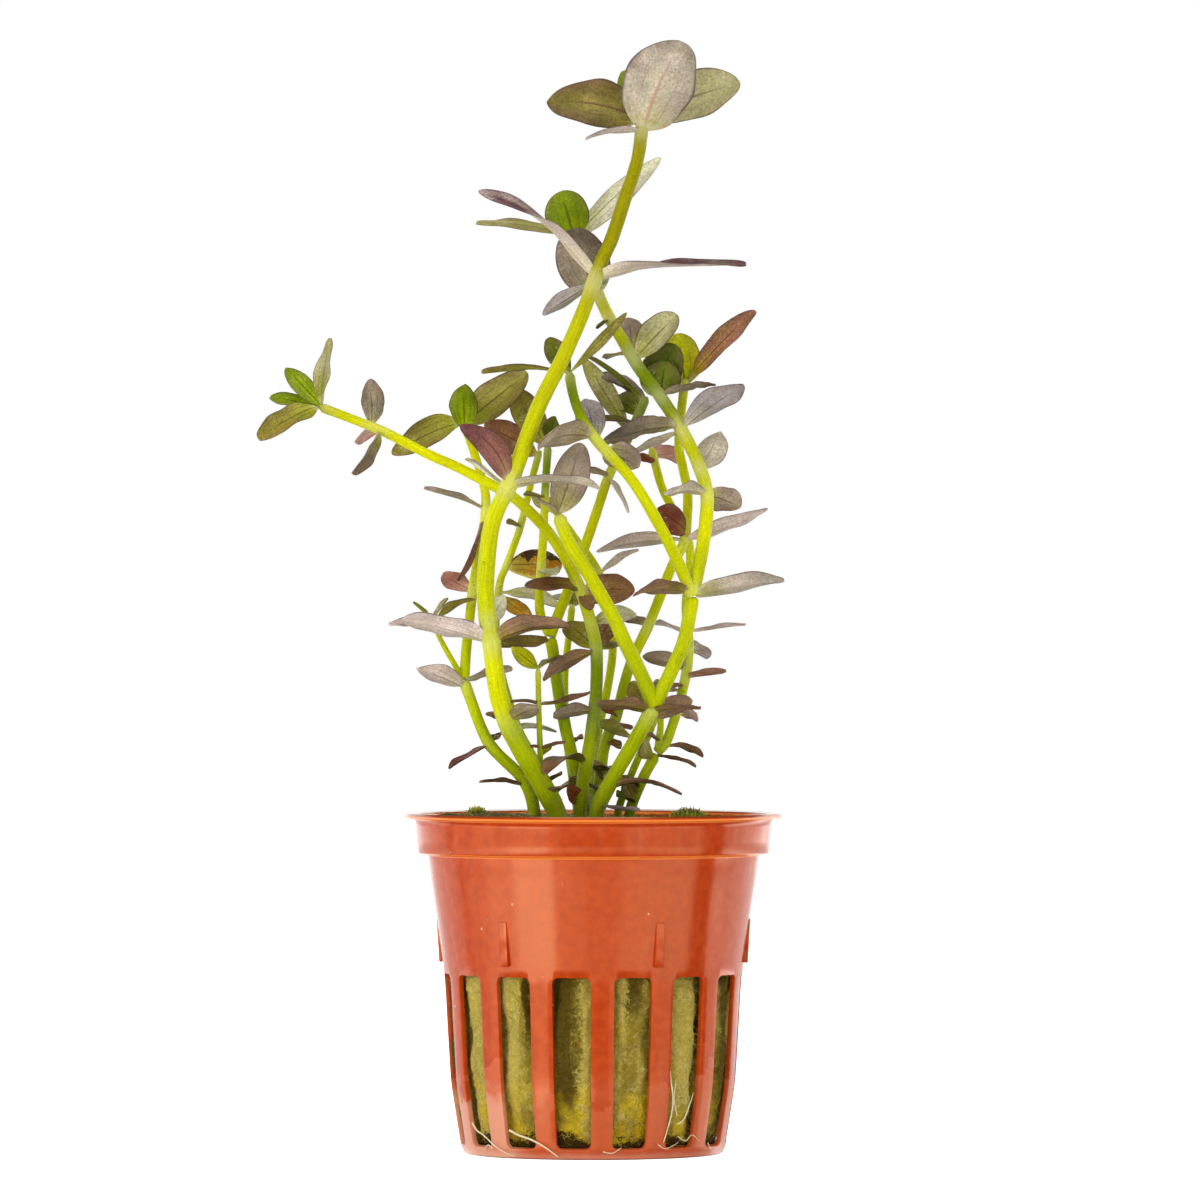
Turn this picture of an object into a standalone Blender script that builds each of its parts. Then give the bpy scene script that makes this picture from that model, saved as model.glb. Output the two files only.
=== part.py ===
"""A purple bacopa salzmannii rooted in a rockwool plug, standing in a slotted net pot.

Lengths are in millimetres and become metres as each mesh is made. Z is up, the origin is
the middle of the pot's underside, and the side seen in the photograph looks along -Y.
"""
import math

import bmesh
import bpy
from mathutils import Matrix, Vector

MM = 0.001
# Clear space kept between two pieces that touch in the real plant
GAP = 0.35

# Net pot, radius and height of its outer skin from the middle of the floor to the rim
POT_SKIN = (
    (0, 0), (8, 0), (15.5, 0), (18.5, 0), (19.0, 0.5), (19.2, 1.5), (20.6, 10),
    (21.6, 26.2), (22.6, 36.5), (24.0, 43.2), (25.5, 43.6), (25.9, 48.6), (27.5, 48.6),
)
POT_WALL = 0.7
SLOT_COUNT = 15
SLOT_WIDTH = math.radians(15)
STRIP_WIDTH = math.tau / SLOT_COUNT - SLOT_WIDTH
# Turn of the first slot's middle from the front, to the right
SLOT_TURN = math.radians(-8.5)
SLOT_FOOT, SLOT_HEAD = 1.5, 26.2
FLOOR_SLOT_IN, FLOOR_SLOT_OUT = 8, 15.5
RIB_COUNT = 6
RIB_TURN = math.radians(25)
RIB_FOOT, RIB_HEAD = 27.7, 34.1
RIB_WIDTH, RIB_DEPTH = 1.4, 0.9
# How far a rib's upper end slopes back, and how far its middle stands out of the wall
RIB_SLOPE, RIB_STAND = 0.54, 0.18

# Rockwool plug
PLUG_FOOT, PLUG_TOP = 1.4, 48.4
# Heights at which the plug follows the pot's wall
PLUG_ROWS = (1.8, 10, 26.2, 36.5, 42.6)
PLUG_CLEAR = 0.4
PLUG_SIDES = 24
# The step in its side under the rim, and the rounding of its upper edge
PLUG_STEP, PLUG_EDGE = 2, 0.5

# Moss tufts on the rockwool: middle and half sizes
MOSS = {
    "moss_left": ((-17, 4, 49.7), (1.3, 1.6, 0.9)),
    "moss_right": ((13.8, 2, 49.8), (3.1, 2.6, 1.0)),
}

# White roots over the foot of the pot: turn from the front in degrees, radius, height
ROOT_RADIUS = 0.25
ROOTS = {
    "root_left": ((-60, 19.3, 4.6), (-56, 20.0, 2.8), (-48, 20.1, 1.4), (-40, 20.1, 0.8), (-34, 20, 0.5)),
    "root_front": ((-36, 19.3, 4.1), (-31, 19.8, 3.2), (-25, 20.1, 2.4), (-19, 20.1, 1.2), (-14, 20, 0.5)),
    "root_right": ((37, 19.9, 7.2), (37, 19.9, 5.6), (37.5, 19.7, 3.9), (38.5, 19.5, 2.8)),
}

# Stems: radius at the foot, radius at the tip, and points along the middle
STEMS = {
    "stem_main": (1.45, 0.92, (
        (-5.4, -6, 49.6), (-8, -6.6, 54.5), (-11.3, -7.5, 60.2), (-13.6, -8.8, 66.2),
        (-14.7, -10.4, 74.4), (-15.5, -11.5, 80.2), (-15.3, -12.4, 85.9), (-14.4, -13, 91.7),
        (-12.4, -13.3, 96.1), (-10.7, -13.5, 100.3), (-7.8, -13.6, 108.1), (-4.5, -13.6, 114.7),
        (-1.6, -13.6, 121.3), (-0.1, -13.5, 125.4), (1.1, -13.3, 128.7), (2.7, -13, 132.3),
        (4.5, -12.8, 137.8), (6.3, -12.5, 143.4), (7.1, -12.2, 149.1),
    )),
    "stem_right_base": (1.1, 1.05, (
        (0.5, -3, 49.7), (2.5, -4, 53.9), (6.1, -5.6, 60.1), (8.7, -6.8, 64.8),
    )),
    "stem_right_middle": (1.03, 1.0, (
        (9.3, -7.1, 66.1), (11.3, -7.4, 70.1), (13.1, -7.4, 74.4), (14.1, -7.1, 79.5),
        (14.2, -7.1, 80.6),
    )),
    "stem_right_upper": (1.0, 0.75, (
        (14.5, -7, 81.9), (15.4, -6.5, 86), (16.1, -5.5, 90.3), (16.4, -4.3, 95.4), (15.4, -3.2, 99.7),
        (13, -1.7, 105.1), (9.8, -2.6, 110.3), (5.4, -4.3, 116.9), (2.7, -5.8, 120.9),
        (1.1, -6.7, 123.8), (-1.2, -6.7, 129), (-3.5, -6.1, 133),
    )),
    "branch_centre": (1.1, 0.95, (
        (8.9, -7, 65.3), (6.9, -7.6, 69.4), (4.4, -7.8, 74.4), (3.1, -7.8, 77.3), (0.4, -7.6, 82.1),
        (-1.4, -7.6, 85.1), (-3.5, -7.8, 88.4), (-5.1, -8.4, 92.5),
    )),
    "stem_left_reach": (1.0, 0.65, (
        (-2, -1, 49.8), (-1.5, -1.2, 54.1), (-0.8, -1.5, 57.7), (-0.1, -1.6, 62.1), (0.4, -1.8, 67.2),
        (0.4, -1.8, 73), (-0.5, -1.6, 77.3), (-2, -1.7, 81.9), (-4.1, -2.3, 86.3), (-7, -3.8, 90.6),
        (-11, -5.8, 94.6), (-13.6, -6.7, 96.2), (-19.3, -7.2, 99.2), (-23.6, -7.8, 101.1),
        (-27.9, -8.4, 103.3), (-30.8, -8.7, 104.7), (-35.1, -9.3, 106.4), (-39.4, -9.9, 108),
    )),
    "branch_inner": (0.9, 0.7, (
        (14.2, -7.3, 81.4), (12.3, -8.6, 85.4), (9.7, -9.9, 90.6), (5.5, -10.7, 97.5),
        (0.5, -11, 103.1), (-1.7, -10.4, 106.4), (-2.9, -9.6, 109.7), (-3.5, -9, 113),
    )),
    "stem_left_base": (0.95, 0.78, (
        (-8.6, -3.2, 49.8), (-10.1, -3.6, 54.2), (-15.1, -4.3, 59.5), (-18, -4.2, 66.5),
        (-18.7, -4.1, 68.5),
    )),
    "stem_left_upper": (0.75, 0.6, (
        (-18.6, -3.9, 69.8), (-18.4, -3.8, 73), (-17.9, -3.5, 77.6), (-17.4, -3.4, 82.1),
        (-16.3, -3, 88.7), (-15.6, -2.6, 93.4), (-15.9, -2.2, 96.8), (-17.9, -1.7, 103.4),
        (-18.9, -1.4, 105.7),
    )),
    "twig_left": (0.42, 0.35, (
        (-18.9, -4.1, 68.9), (-22, -4.7, 74.3), (-23.3, -4.8, 77.6),
    )),
    "stem_centre_base": (0.92, 0.88, (
        (-1.2, 2, 49.6), (-3.3, 1.3, 58.4), (-4.1, 1, 61.8), (-5.2, 0.6, 67.7), (-5.9, 0.5, 72.9),
        (-6.3, 0.5, 74.7),
    )),
    "stem_centre_upper": (0.7, 0.55, (
        (-6.6, 0.7, 75.8), (-7.8, 1.4, 78.7), (-7.6, 2, 85.1), (-7.3, 2.2, 89.3), (-6.9, 2, 97.9),
        (-6.6, 1.7, 102.7),
    )),
    "branch_back": (0.8, 0.65, (
        (-6.2, 0.7, 75.3), (-5.3, 1.3, 77.6), (-3.6, 2.2, 81.8), (-1.4, 3.2, 87.6), (0.6, 3.3, 93.4),
        (2.2, 2.9, 98.2), (4.4, 2.6, 102.4), (7, 1.7, 108.1), (7.6, 1.4, 109.7),
    )),
    "stem_back_left": (0.65, 0.5, (
        (-4.6, 5, 49.5), (-8.5, 5.6, 56.9), (-11.4, 6, 62.7), (-14.1, 6.4, 72.9), (-13.8, 6.7, 81.8),
        (-12.6, 6.6, 85.4), (-11, 6.7, 89.8), (-10.1, 6.7, 93), (-9, 6.7, 97.7), (-7.8, 6.4, 102),
    )),
    "stem_edge_base": (0.8, 0.75, (
        (5.3, 3, 49.5), (7.2, 3.5, 54.3), (9.1, 4, 57.8),
    )),
    "stem_edge_upper": (0.75, 0.6, (
        (9.4, 4.1, 58.5), (10.8, 4.5, 60.1), (12.9, 5.9, 66.8), (13.9, 6.9, 72.9), (13.5, 7.7, 79.3),
        (14.1, 8, 86), (13.5, 8.1, 89.7), (11.1, 8.1, 94.3), (9.8, 8.1, 97.1), (8.4, 7.8, 102.4),
    )),
    "twig_edge": (0.5, 0.45, (
        (9.4, 3.8, 59), (9.7, 3.3, 61.3), (9.8, 2.9, 63.9), (10.5, 2.6, 67.1),
    )),
    "stem_back_right": (0.85, 0.65, (
        (0.5, 4.5, 49.5), (1.5, 4.6, 58.4), (3.3, 4.5, 63.3), (5.3, 4.5, 70.7), (8.2, 4.3, 77),
        (11.3, 3.7, 84.9), (13.2, 3.5, 88.9), (13.7, 3.2, 95.3), (13.1, 3.2, 98.9), (12.4, 3.5, 102.6),
        (12.7, 3.8, 107.1), (13.3, 4.1, 112.3),
    )),
    "stem_back_centre": (0.7, 0.5, (
        (-0.2, 8, 49.4), (0.5, 9, 59.8), (2, 10.1, 67.1), (2.8, 11, 72.9), (2.4, 11.7, 78.7),
        (0.6, 12, 84.6), (-2.7, 11.6, 89.3), (-5.5, 10.7, 93.1), (-7.2, 10.2, 93.6),
    )),
    "stem_back_short": (0.6, 0.5, (
        (-2.4, 8, 49.4), (-3.9, 8.1, 59.8), (-4.2, 8.6, 68.5), (-3.7, 9.1, 74.2), (-3.1, 9.3, 79.5),
    )),
    "stem_slim": (0.42, 0.4, (
        (-6.4, -2, 49.6), (-7.6, -3.3, 55.6), (-7.7, -4.4, 58.5), (-7.9, -5.7, 64.5), (-8, -6.4, 70.4),
    )),
    "stem_back_low": (0.6, 0.5, (
        (3.6, 7, 49.5), (5.6, 7.5, 55), (8.5, 8.5, 61.7), (10.3, 9.4, 66.8),
    )),
}

# Larger leaves: foot, tip, width, way the upper side looks, arch, fold
LEAVES = {
    "leaf_top_front": ((7.3, -14.4, 147.7), (12.5, -18.1, 160.3), 10.6, (-0.3, 1, 0.1), 0.6, 0.3),
    "leaf_top_left": ((5.8, -12.9, 149.7), (-6.7, -11.6, 151.4), 7.0, (0, -0.7, 0.7), 0.5, 0.4),
    "leaf_top_right": ((8.3, -11.6, 149.2), (21, -8, 154.9), 7.4, (0.2, 0.9, 0.5), 0.6, 0.4),
    "leaf_upper_left": ((-1.4, -13.9, 126.6), (-16.4, -13.9, 139.1), 6.0, (0.5, 0.3, 0.8), -0.8, 0.5),
    "leaf_upper_right": ((1.4, -13.6, 126), (21.9, -15.2, 128.7), 6.5, (0, 0.15, 1), -0.8, 0.5),
    "leaf_upper_round": ((-0.6, -9.6, 124.4), (-3.5, -9.6, 133.5), 7.8, (0, 1, 0.1), 0.2, 0.2),
    "leaf_crown_left": ((-4.8, -6.1, 133.5), (-17, -3.8, 134.7), 5.0, (0, 0.1, 1), 0.8, 0.4),
    "leaf_crown_round": ((-3.5, -8.1, 133.5), (-3.1, -8.4, 139.6), 6.4, (0, -1, 0), 0.2, 0.2),
    "leaf_crown_right": ((-2.5, -5.2, 133.5), (9, -2.2, 144.6), 5.6, (0.7, 0.35, 0.6), -0.4, 0.5),
    "leaf_node_left": ((-13.1, -15.7, 97.7), (-19, -17.4, 105.3), 5.4, (-0.3, -0.9, 0.3), 0.4, 0.4),
    "leaf_node_right": ((-11, -14.8, 96.3), (0.8, -17.4, 96), 5.0, (0, 0.3, 1), 1.2, 0.3),
    "leaf_middle_left": ((-16.6, -11.4, 74.3), (-27.5, -13.4, 77.5), 5.4, (-0.1, 0.45, 0.9), 0.5, 0.4),
    "leaf_middle_right": ((-13.6, -11.7, 74.4), (-3.2, -13.3, 76.6), 5.0, (0, 0.5, 0.9), 1.0, 0.4),
    "leaf_wing_right": ((14.3, -2.9, 106), (21.6, -7.2, 111.4), 5.4, (-0.3, 0.7, 0.6), 0.5, 0.4),
    "leaf_wing_left": ((11.3, -4.6, 105.5), (1.2, -7.8, 103.7), 5.6, (0, 0.6, 0.8), 0.9, 0.4),
    "leaf_fork_left": ((13, -8.4, 81.2), (5.8, -12.5, 80.8), 5.0, (0, 0.5, 0.9), 0.9, 0.3),
    "leaf_fork_right": ((15.7, -7.2, 81.1), (27.5, -8.5, 83.1), 5.8, (0, 0.5, 0.9), 0.4, 0.3),
    "leaf_round_right": ((17.6, -3.8, 95.1), (21.4, 0.7, 93.8), 4.4, (0, 0.9, 0.4), 0.3, 0.2),
    "leaf_inner_upright": ((-5.1, -9.6, 93.4), (-1.7, -9.6, 102.8), 5.4, (0.2, 1, 0), 0.4, 0.3),
    "leaf_reach_up": ((-31.5, -9.1, 106.3), (-32.2, -8.1, 112.1), 4.6, (0.3, 0.9, 0.2), 0.3, 0.3),
    "leaf_reach_front": ((-31.2, -10.4, 103.7), (-34.7, -13, 98.3), 5.2, (0.85, 0.2, 0.5), 0.5, 0.5),
    "leaf_tip_up": ((-38.9, -10.4, 109.3), (-37.8, -10.4, 117.9), 5.0, (-0.9, -0.45, 0.2), 0.4, 0.4),
    "leaf_tip_down": ((-40.3, -11.9, 107.5), (-48.1, -14.2, 103.3), 5.6, (-0.2, -0.6, 0.8), 0.6, 0.4),
    "leaf_inner_left": ((-0.5, -13, 103.5), (-7.9, -17.1, 102.3), 5.8, (0, 0.7, 0.7), 1.2, 0.3),
    "leaf_inner_right": ((1.9, -9.3, 102.2), (6.6, -6.1, 99.5), 4.6, (0, 0.9, 0.5), 0.3, 0.2),
    "leaf_back_left": ((-19.9, -1.4, 105.5), (-29.3, -1.4, 101.5), 5.6, (0, -0.7, 0.7), 0.6, 0.4),
    "leaf_back_right": ((-18, -1.4, 106.1), (-9.6, -1.4, 113.2), 5.4, (0.3, 0.8, 0.5), 0.5, 0.4),
    "leaf_round_green": ((8.5, 1.2, 110.7), (11.2, 0.3, 117.2), 6.0, (0, -1, 0.1), 0.3, 0.5),
    "leaf_orange": ((14.2, 1.7, 112.6), (23.5, -0.9, 122.1), 5.6, (0.3, -0.6, 0.7), 0.4, 0.5),
    "leaf_edge_right": ((14.5, 2.9, 88.9), (25.2, 0, 93.7), 5.0, (-0.2, 0.45, 0.9), -0.4, 0.4),
    "leaf_cross_right": ((-0.7, -2.2, 81.9), (6, -2, 81.6), 5.4, (0, -0.9, 0.5), 0.4, 0.3),
}

# Small leaves fused to the stem they grow from, in the same order of values
SMALL_LEAVES = {
    "stem_main": (
        ((6.8, -12.6, 147.6), (-1.1, -18.8, 146.4), 3.6, (0, 0.3, 1), 0.5, 0.2),
        ((7, -11.6, 148.6), (4.4, -4.3, 156.8), 3.8, (0, -1, 0.2), 0.3, 0.3),
        ((-0.2, -13.2, 125.2), (-7.3, -8.7, 121.3), 4.6, (0.3, 0.5, 0.8), 0.4, 0.3),
        ((-12.9, -12.5, 96.6), (-18.4, -9.7, 100.6), 3.2, (0, 0.2, 1), 0.3, 0.2),
        ((-14.6, -9.3, 74), (-6.6, -4.2, 74.4), 4.2, (0, -0.4, 0.9), -0.3, 0.3),
        ((-14.9, -9.7, 75), (-12.9, -5.8, 80.8), 3.2, (0, 1, 0.2), 0.2, 0.3),
        ((-12.6, -8.6, 62.5), (-8, -13.7, 65), 3.6, (0, 0.8, 0.5), 0.3, 0.2),
        ((-12.8, -7.5, 62.6), (-15.4, -4.7, 63.9), 2.4, (0, -0.4, 1), 0.2, 0.2),
        ((-12.5, -6.8, 61.6), (-5.4, 1.7, 61.2), 2.6, (0, -0.5, 1), 0.5, 0.2),
    ),
    "stem_right_base": (
        ((2.2, -4.2, 53.3), (12.8, -7, 52.2), 3.4, (0, 0.1, 1), 1.4, 0.3),
        ((8.2, -7, 64.3), (0.4, -10.9, 65.4), 4.6, (0, 0.45, 0.9), 0.2, 0.3),
        ((8.4, -6.8, 64.2), (15.5, -9.8, 64.6), 3.2, (0, 0.1, 1), 0.3, 0.2),
        ((8.4, -6.2, 63.2), (14.3, -2.1, 65.7), 3.4, (0, 0.9, 0.4), 0.2, 0.2),
        ((8.2, -6.2, 63.6), (5.6, -1.9, 68.5), 3.6, (0, -0.9, 0.4), 0.2, 0.2),
        ((1.8, -3.4, 52.7), (5, -1.8, 54), 2.4, (0, -0.5, 0.8), 0.3, 0.2),
    ),
    "stem_right_upper": (
        ((13.1, -1.7, 104.8), (5.6, 1.4, 101.2), 3.0, (0, 0.1, 1), 0.5, 0.2),
        ((16.3, -4.9, 95.8), (10.3, -9.9, 95.5), 4.2, (0, 0.5, 0.8), 0.7, 0.3),
        ((6.9, -4.2, 115.5), (12.1, -5.2, 121.4), 5.0, (-0.3, 0.8, 0.5), 0.4, 0.3),
        ((6.1, -3.5, 116.4), (5.2, 3.2, 121.2), 4.0, (0, -0.9, 0.3), 0.3, 0.3),
        ((5.9, -3.8, 116.1), (1.8, 3.5, 115.4), 3.8, (0, -0.5, 0.9), 0.3, 0.2),
        ((2.7, -5.8, 120.9), (0.4, -7.2, 119.4), 1.6, (0, 0, 1), 0.1, 0.1),
        ((9.9, -2.6, 110), (17.7, -4.3, 111.3), 3.2, (0, 0.2, 1), 0.3, 0.2),
    ),
    "branch_centre": (
        ((-5, -8.4, 92.2), (-8, -11, 94.9), 2.2, (0, -0.3, 1), 0.2, 0.2),
    ),
    "stem_left_reach": (
        ((-1.1, -1.6, 56.4), (-7, -10.8, 55.3), 5.0, (0, 0.3, 1), 1.6, 0.3),
        ((-0.8, -1.4, 55.9), (2.5, 4.1, 55.8), 3.2, (0, -0.5, 0.8), 0.4, 0.2),
        ((0.1, -1.8, 62.1), (5.3, 2.5, 60.3), 3.6, (0, -0.6, 0.7), 0.4, 0.3),
        ((0.1, -2, 64), (-5.8, -5.8, 63.5), 3.6, (0, 0.7, 0.7), 0.4, 0.2),
        ((0.2, -1.4, 64.1), (2.1, 0.9, 65), 2.4, (0, -0.6, 0.8), 0.1, 0.1),
        ((0.4, -2.3, 73), (-7.4, -6, 68.8), 4.4, (0.1, 0.6, 0.8), 0.5, 0.3),
        ((0.2, -1, 73.2), (-4, 4, 77), 4.2, (0, -0.8, 0.5), 0.3, 0.3),
        ((0.4, -1.3, 73.1), (2.5, 4.4, 77.7), 3.2, (0, -0.9, 0.2), 0.2, 0.2),
        ((0.4, -1.5, 73), (4.6, 4.8, 73.9), 2.6, (0, -0.6, 0.8), 0.2, 0.2),
        ((-0.4, -1.1, 76.7), (6.2, 2, 78.2), 3.6, (0, -0.7, 0.7), 0.7, 0.2),
        ((-2, -1.8, 81.9), (-9.9, -5.6, 82.1), 4.8, (0, -0.55, 0.8), 0.4, 0.3),
        ((-1.8, -2, 81.5), (-0.2, -4.1, 78.9), 2.2, (0, -1, 0.4), 0.1, 0.1),
        ((-30.8, -8.1, 104.7), (-34.4, -0.6, 103.4), 3.0, (0, -0.9, 0.4), 0.2, 0.2),
        ((-38.9, -9.7, 107.8), (-46.7, -4.9, 109.2), 3.6, (0, -0.6, 0.8), 0.3, 0.3),
        ((-38.8, -9.7, 107.7), (-44.4, -5.2, 113.6), 3.0, (0, -1, 0.2), 0.3, 0.3),
    ),
    "branch_inner": (
        ((0.4, -10.9, 103.1), (-1.2, -6.4, 109.2), 4.4, (0, -1, 0.1), 0.3, 0.3),
        ((-3.4, -9, 112.8), (4.8, -8.7, 121.6), 2.8, (0.7, 0.1, 0.7), 0.2, 0.2),
        ((-3.5, -8.8, 112.8), (-16.2, -6.1, 113.1), 4.4, (0, 0.1, 1), 0.7, 0.3),
        ((-3.5, -9, 112.5), (-6.6, -4.7, 118.1), 3.4, (0, -1, 0.2), 0.3, 0.3),
    ),
    "stem_left_base": (
        ((-15.1, -4.2, 59.2), (-20.9, -6.2, 55.8), 3.0, (0.2, 0, 1), 0.2, 0.2),
        ((-15.1, -4.3, 59.5), (-13.2, -2.8, 61), 2.2, (0, 0, 1), 0.1, 0.1),
        ((-9.9, -3.5, 53.6), (-16.5, -6.6, 53.9), 2.8, (0, 0.1, 1), 0.3, 0.2),
        ((-18.4, -4.3, 67.8), (-25.4, -8.6, 70.4), 4.6, (0, 0.7, 0.7), 0.4, 0.3),
        ((-18.7, -3.8, 68.6), (-11.7, -2, 70.2), 3.2, (0, 0.2, 1), 0.2, 0.2),
    ),
    "stem_left_upper": (
        ((-15.6, -2.6, 93.4), (-24.5, -4.9, 96.5), 3.0, (0, 0.1, 1), 0.3, 0.2),
        ((-15.6, -2.9, 92.5), (-19.6, -6.5, 82.9), 3.0, (0.9, 0.1, 0.5), 0.2, 0.2),
        ((-17.6, -3.4, 81.6), (-21.9, 3.1, 83.8), 3.2, (0, -1, 0.3), 0.1, 0.2),
        ((-18.8, -1.9, 105.3), (-18.8, -6.9, 111.1), 4.2, (0, -1, 0.2), 0.2, 0.3),
    ),
    "twig_left": (
        ((-23, -4.8, 76.9), (-29.6, -7.9, 76.7), 2.8, (0, 0.5, 0.9), 0.3, 0.2),
        ((-23, -4.8, 76.9), (-17.1, -7.4, 80.3), 3.0, (0, 0.3, 1), 0.8, 0.2),
        ((-23.1, -4.5, 76.9), (-24.5, -2.8, 80.2), 2.4, (0, -1, 0.3), 0.1, 0.2),
    ),
    "stem_centre_upper": (
        ((-6.9, 1.7, 102), (-11.7, 3.2, 111), 4.6, (0, -0.9, 0.3), 0.3, 0.3),
        ((-6.6, 1.7, 102.4), (-5.6, -5.2, 106.6), 2.8, (0, -1, 0.2), 0.1, 0.2),
        ((-7, 2, 95), (-10.1, 0, 95.6), 2.2, (0, -0.4, 0.9), 0.1, 0.1),
        ((-7.6, 1.7, 84.8), (-5.3, -6.5, 84), 2.8, (0, -0.7, 0.6), 0.1, 0.2),
    ),
    "branch_back": (
        ((2.2, 2.9, 98.2), (-2, -4.2, 99.3), 2.8, (0, 0.2, 1), 0.2, 0.2),
        ((2.4, 2.9, 97.9), (5.1, -2.6, 92.9), 2.8, (0.8, 0.3, 0.6), 0.2, 0.2),
        ((7.5, 1.4, 109.4), (-0.9, 1.7, 115.5), 3.6, (0.4, 0.3, 0.9), 0.3, 0.2),
        ((6.7, 2, 107.2), (2.7, 8.8, 109.7), 4.0, (0, -0.8, 0.5), 0.3, 0.3),
        ((6.2, 2, 105.8), (1.7, -4.9, 106.1), 3.2, (0, -0.5, 0.8), 0.3, 0.2),
        ((5.3, 2.6, 104.3), (-1.5, 5.8, 115.4), 4.0, (0.2, -0.9, 0.1), 0.3, 0.3),
        ((7.5, 1.7, 109.5), (1.2, 5.5, 113.1), 3.6, (0, -0.5, 0.9), 0.3, 0.2),
    ),
    "stem_back_left": (
        ((-13.8, 6.7, 81.7), (-9.5, 1.8, 77.4), 3.6, (0, -0.9, 0.4), 0.2, 0.3),
        ((-13.6, 6.7, 81.4), (-4.7, 7.1, 79.2), 3.2, (0, -0.5, 0.8), 0.8, 0.2),
        ((-12.5, 6.6, 85.2), (-4.6, 5.2, 85.1), 4.8, (0, -0.9, 0.4), 0.2, 0.3),
        ((-10.6, 6.7, 91), (-12.6, 4.3, 91.4), 2.0, (0, -0.6, 0.8), 0.1, 0.1),
        ((-7.9, 6.4, 101.5), (-15.9, 4.3, 105.8), 4.6, (0, -1, 0.3), 0.3, 0.3),
    ),
    "stem_edge_base": (
        ((9.1, 4, 57.5), (14.9, 0.4, 56), 2.6, (0, 0.2, 1), 0.5, 0.2),
        ((8.8, 3.5, 57.2), (7, -2.3, 59.6), 2.8, (-0.5, -0.7, 0.4), 0.4, 0.2),
        ((5.7, 3, 51.1), (4.6, 2, 54.2), 2.4, (0, -1, 0.3), 0.3, 0.2),
    ),
    "stem_edge_upper": (
        ((10, 4.3, 59), (16, 7.6, 57.3), 2.8, (0, 0.2, 1), 0.8, 0.2),
        ((12.3, 5.4, 63.9), (15.1, 11.7, 63.2), 3.2, (0, -0.9, 0.4), 0.1, 0.1),
        ((13.6, 7.1, 75.2), (9, 13.2, 76.7), 3.0, (0, 0.4, 0.9), 0.4, 0.2),
        ((13.8, 7.1, 75.4), (22.2, 4.5, 76.7), 3.0, (0, 0.2, 1), 0.1, 0.2),
        ((13.9, 6.9, 72.6), (16.8, 14.1, 72.9), 3.4, (0, -0.9, 0.3), 0.1, 0.1),
        ((13.8, 6.4, 70.3), (7.2, 3.9, 72.1), 4.2, (0, 0.5, 0.9), 0.3, 0.3),
        ((13.5, 6.3, 69.1), (19.2, 2, 69.9), 3.0, (0, 0.4, 0.9), 0.2, 0.2),
        ((8.7, 7.8, 101.3), (12.4, 15.5, 101.9), 3.4, (0, -0.9, 0.4), 0.2, 0.2),
        ((8.5, 7.8, 100.6), (6.2, 6.4, 100.7), 2.2, (0, -0.5, 0.8), 0.1, 0.1),
    ),
    "stem_back_right": (
        ((13.6, 3.2, 89.9), (9.3, -2.6, 93.4), 4.2, (0, -1, 0.3), 0.2, 0.3),
        ((13.4, 3.5, 89.6), (10.2, 1.4, 89.9), 2.4, (0, 0, 1), 0.1, 0.1),
        ((13.1, 3.2, 88.8), (0.4, -0.9, 87.4), 4.4, (0, 0.5, 0.9), 0.6, 0.3),
        ((13.3, 4.1, 111.8), (12.3, 3.8, 119), 4.4, (0, -1, 0.1), 0.2, 0.3),
        ((13.3, 4.1, 111.2), (15.7, 11.1, 115.1), 2.6, (0, -0.4, 1), 0.1, 0.1),
        ((7.8, 4.4, 76.1), (4.4, 11.6, 77.6), 3.2, (0, -0.5, 0.8), 0.3, 0.2),
        ((2.7, 4.4, 61.6), (5.7, 6.6, 61.7), 2.0, (0, -0.6, 0.8), 0.1, 0.1),
        ((2.1, 4.5, 59.8), (4, 2.7, 58.7), 1.8, (0, -0.6, 0.8), 0.1, 0.1),
    ),
    "stem_back_centre": (
        ((0.8, 12, 84.3), (6.6, 10.1, 87.6), 2.4, (0, 0.3, 0.9), 0.4, 0.2),
        ((-6.9, 10.2, 93.6), (-9, 9.3, 95.4), 1.8, (0, -1, 0.4), 0.1, 0.1),
        ((-6.9, 10.2, 93.5), (-5.5, 10.2, 95.2), 1.8, (0, -1, 0.4), 0.1, 0.1),
    ),
    "stem_slim": (
        ((-8, -6.4, 70.2), (-11.7, -12.4, 73.4), 3.2, (0, -0.7, 0.7), 0.1, 0.2),
        ((-8, -6.4, 70.2), (-4.4, -0.2, 72.1), 2.6, (0, 0.3, 0.9), 0.3, 0.2),
        ((-7.9, -5.7, 65.3), (-11.9, -7.4, 65.5), 2.4, (0, 0.1, 1), 0.4, 0.2),
        ((-7.9, -5.7, 65.5), (-0.5, -8, 66.9), 3.2, (0, 0.1, 1), -0.3, 0.3),
        ((-7.7, -4.4, 58.8), (-10.2, -5.7, 59), 1.8, (0, 0.1, 1), 0.2, 0.1),
        ((-7.7, -4.4, 58.7), (-4, -6, 59.7), 2.0, (0, 0.1, 1), 0.3, 0.1),
    ),
}

# A fork is cut clear of these stems, which carry it
CARRIERS = {
    "branch_centre": ("stem_right_base", "stem_right_middle"),
    "branch_inner": ("stem_right_middle", "stem_right_upper"),
    "twig_left": ("stem_left_base", "stem_left_upper"),
    "branch_back": ("stem_centre_base", "stem_centre_upper"),
    "twig_edge": ("stem_edge_base", "stem_edge_upper"),
}
# Stems with a thicker foot than this are eight-sided, the others six-sided
THICK_STEM = 0.92
LEAF_THICK = 0.5
LEAF_STATIONS, SMALL_LEAF_STATIONS, TINY_LEAF_STATIONS = 5, 4, 3
TINY_LEAF_LENGTH = 7
# Width shares that narrow a blade's oval at its foot and fill it out towards its tip
FOOT_SHARE, TIP_SHARE = 0.7, 1.2

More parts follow.
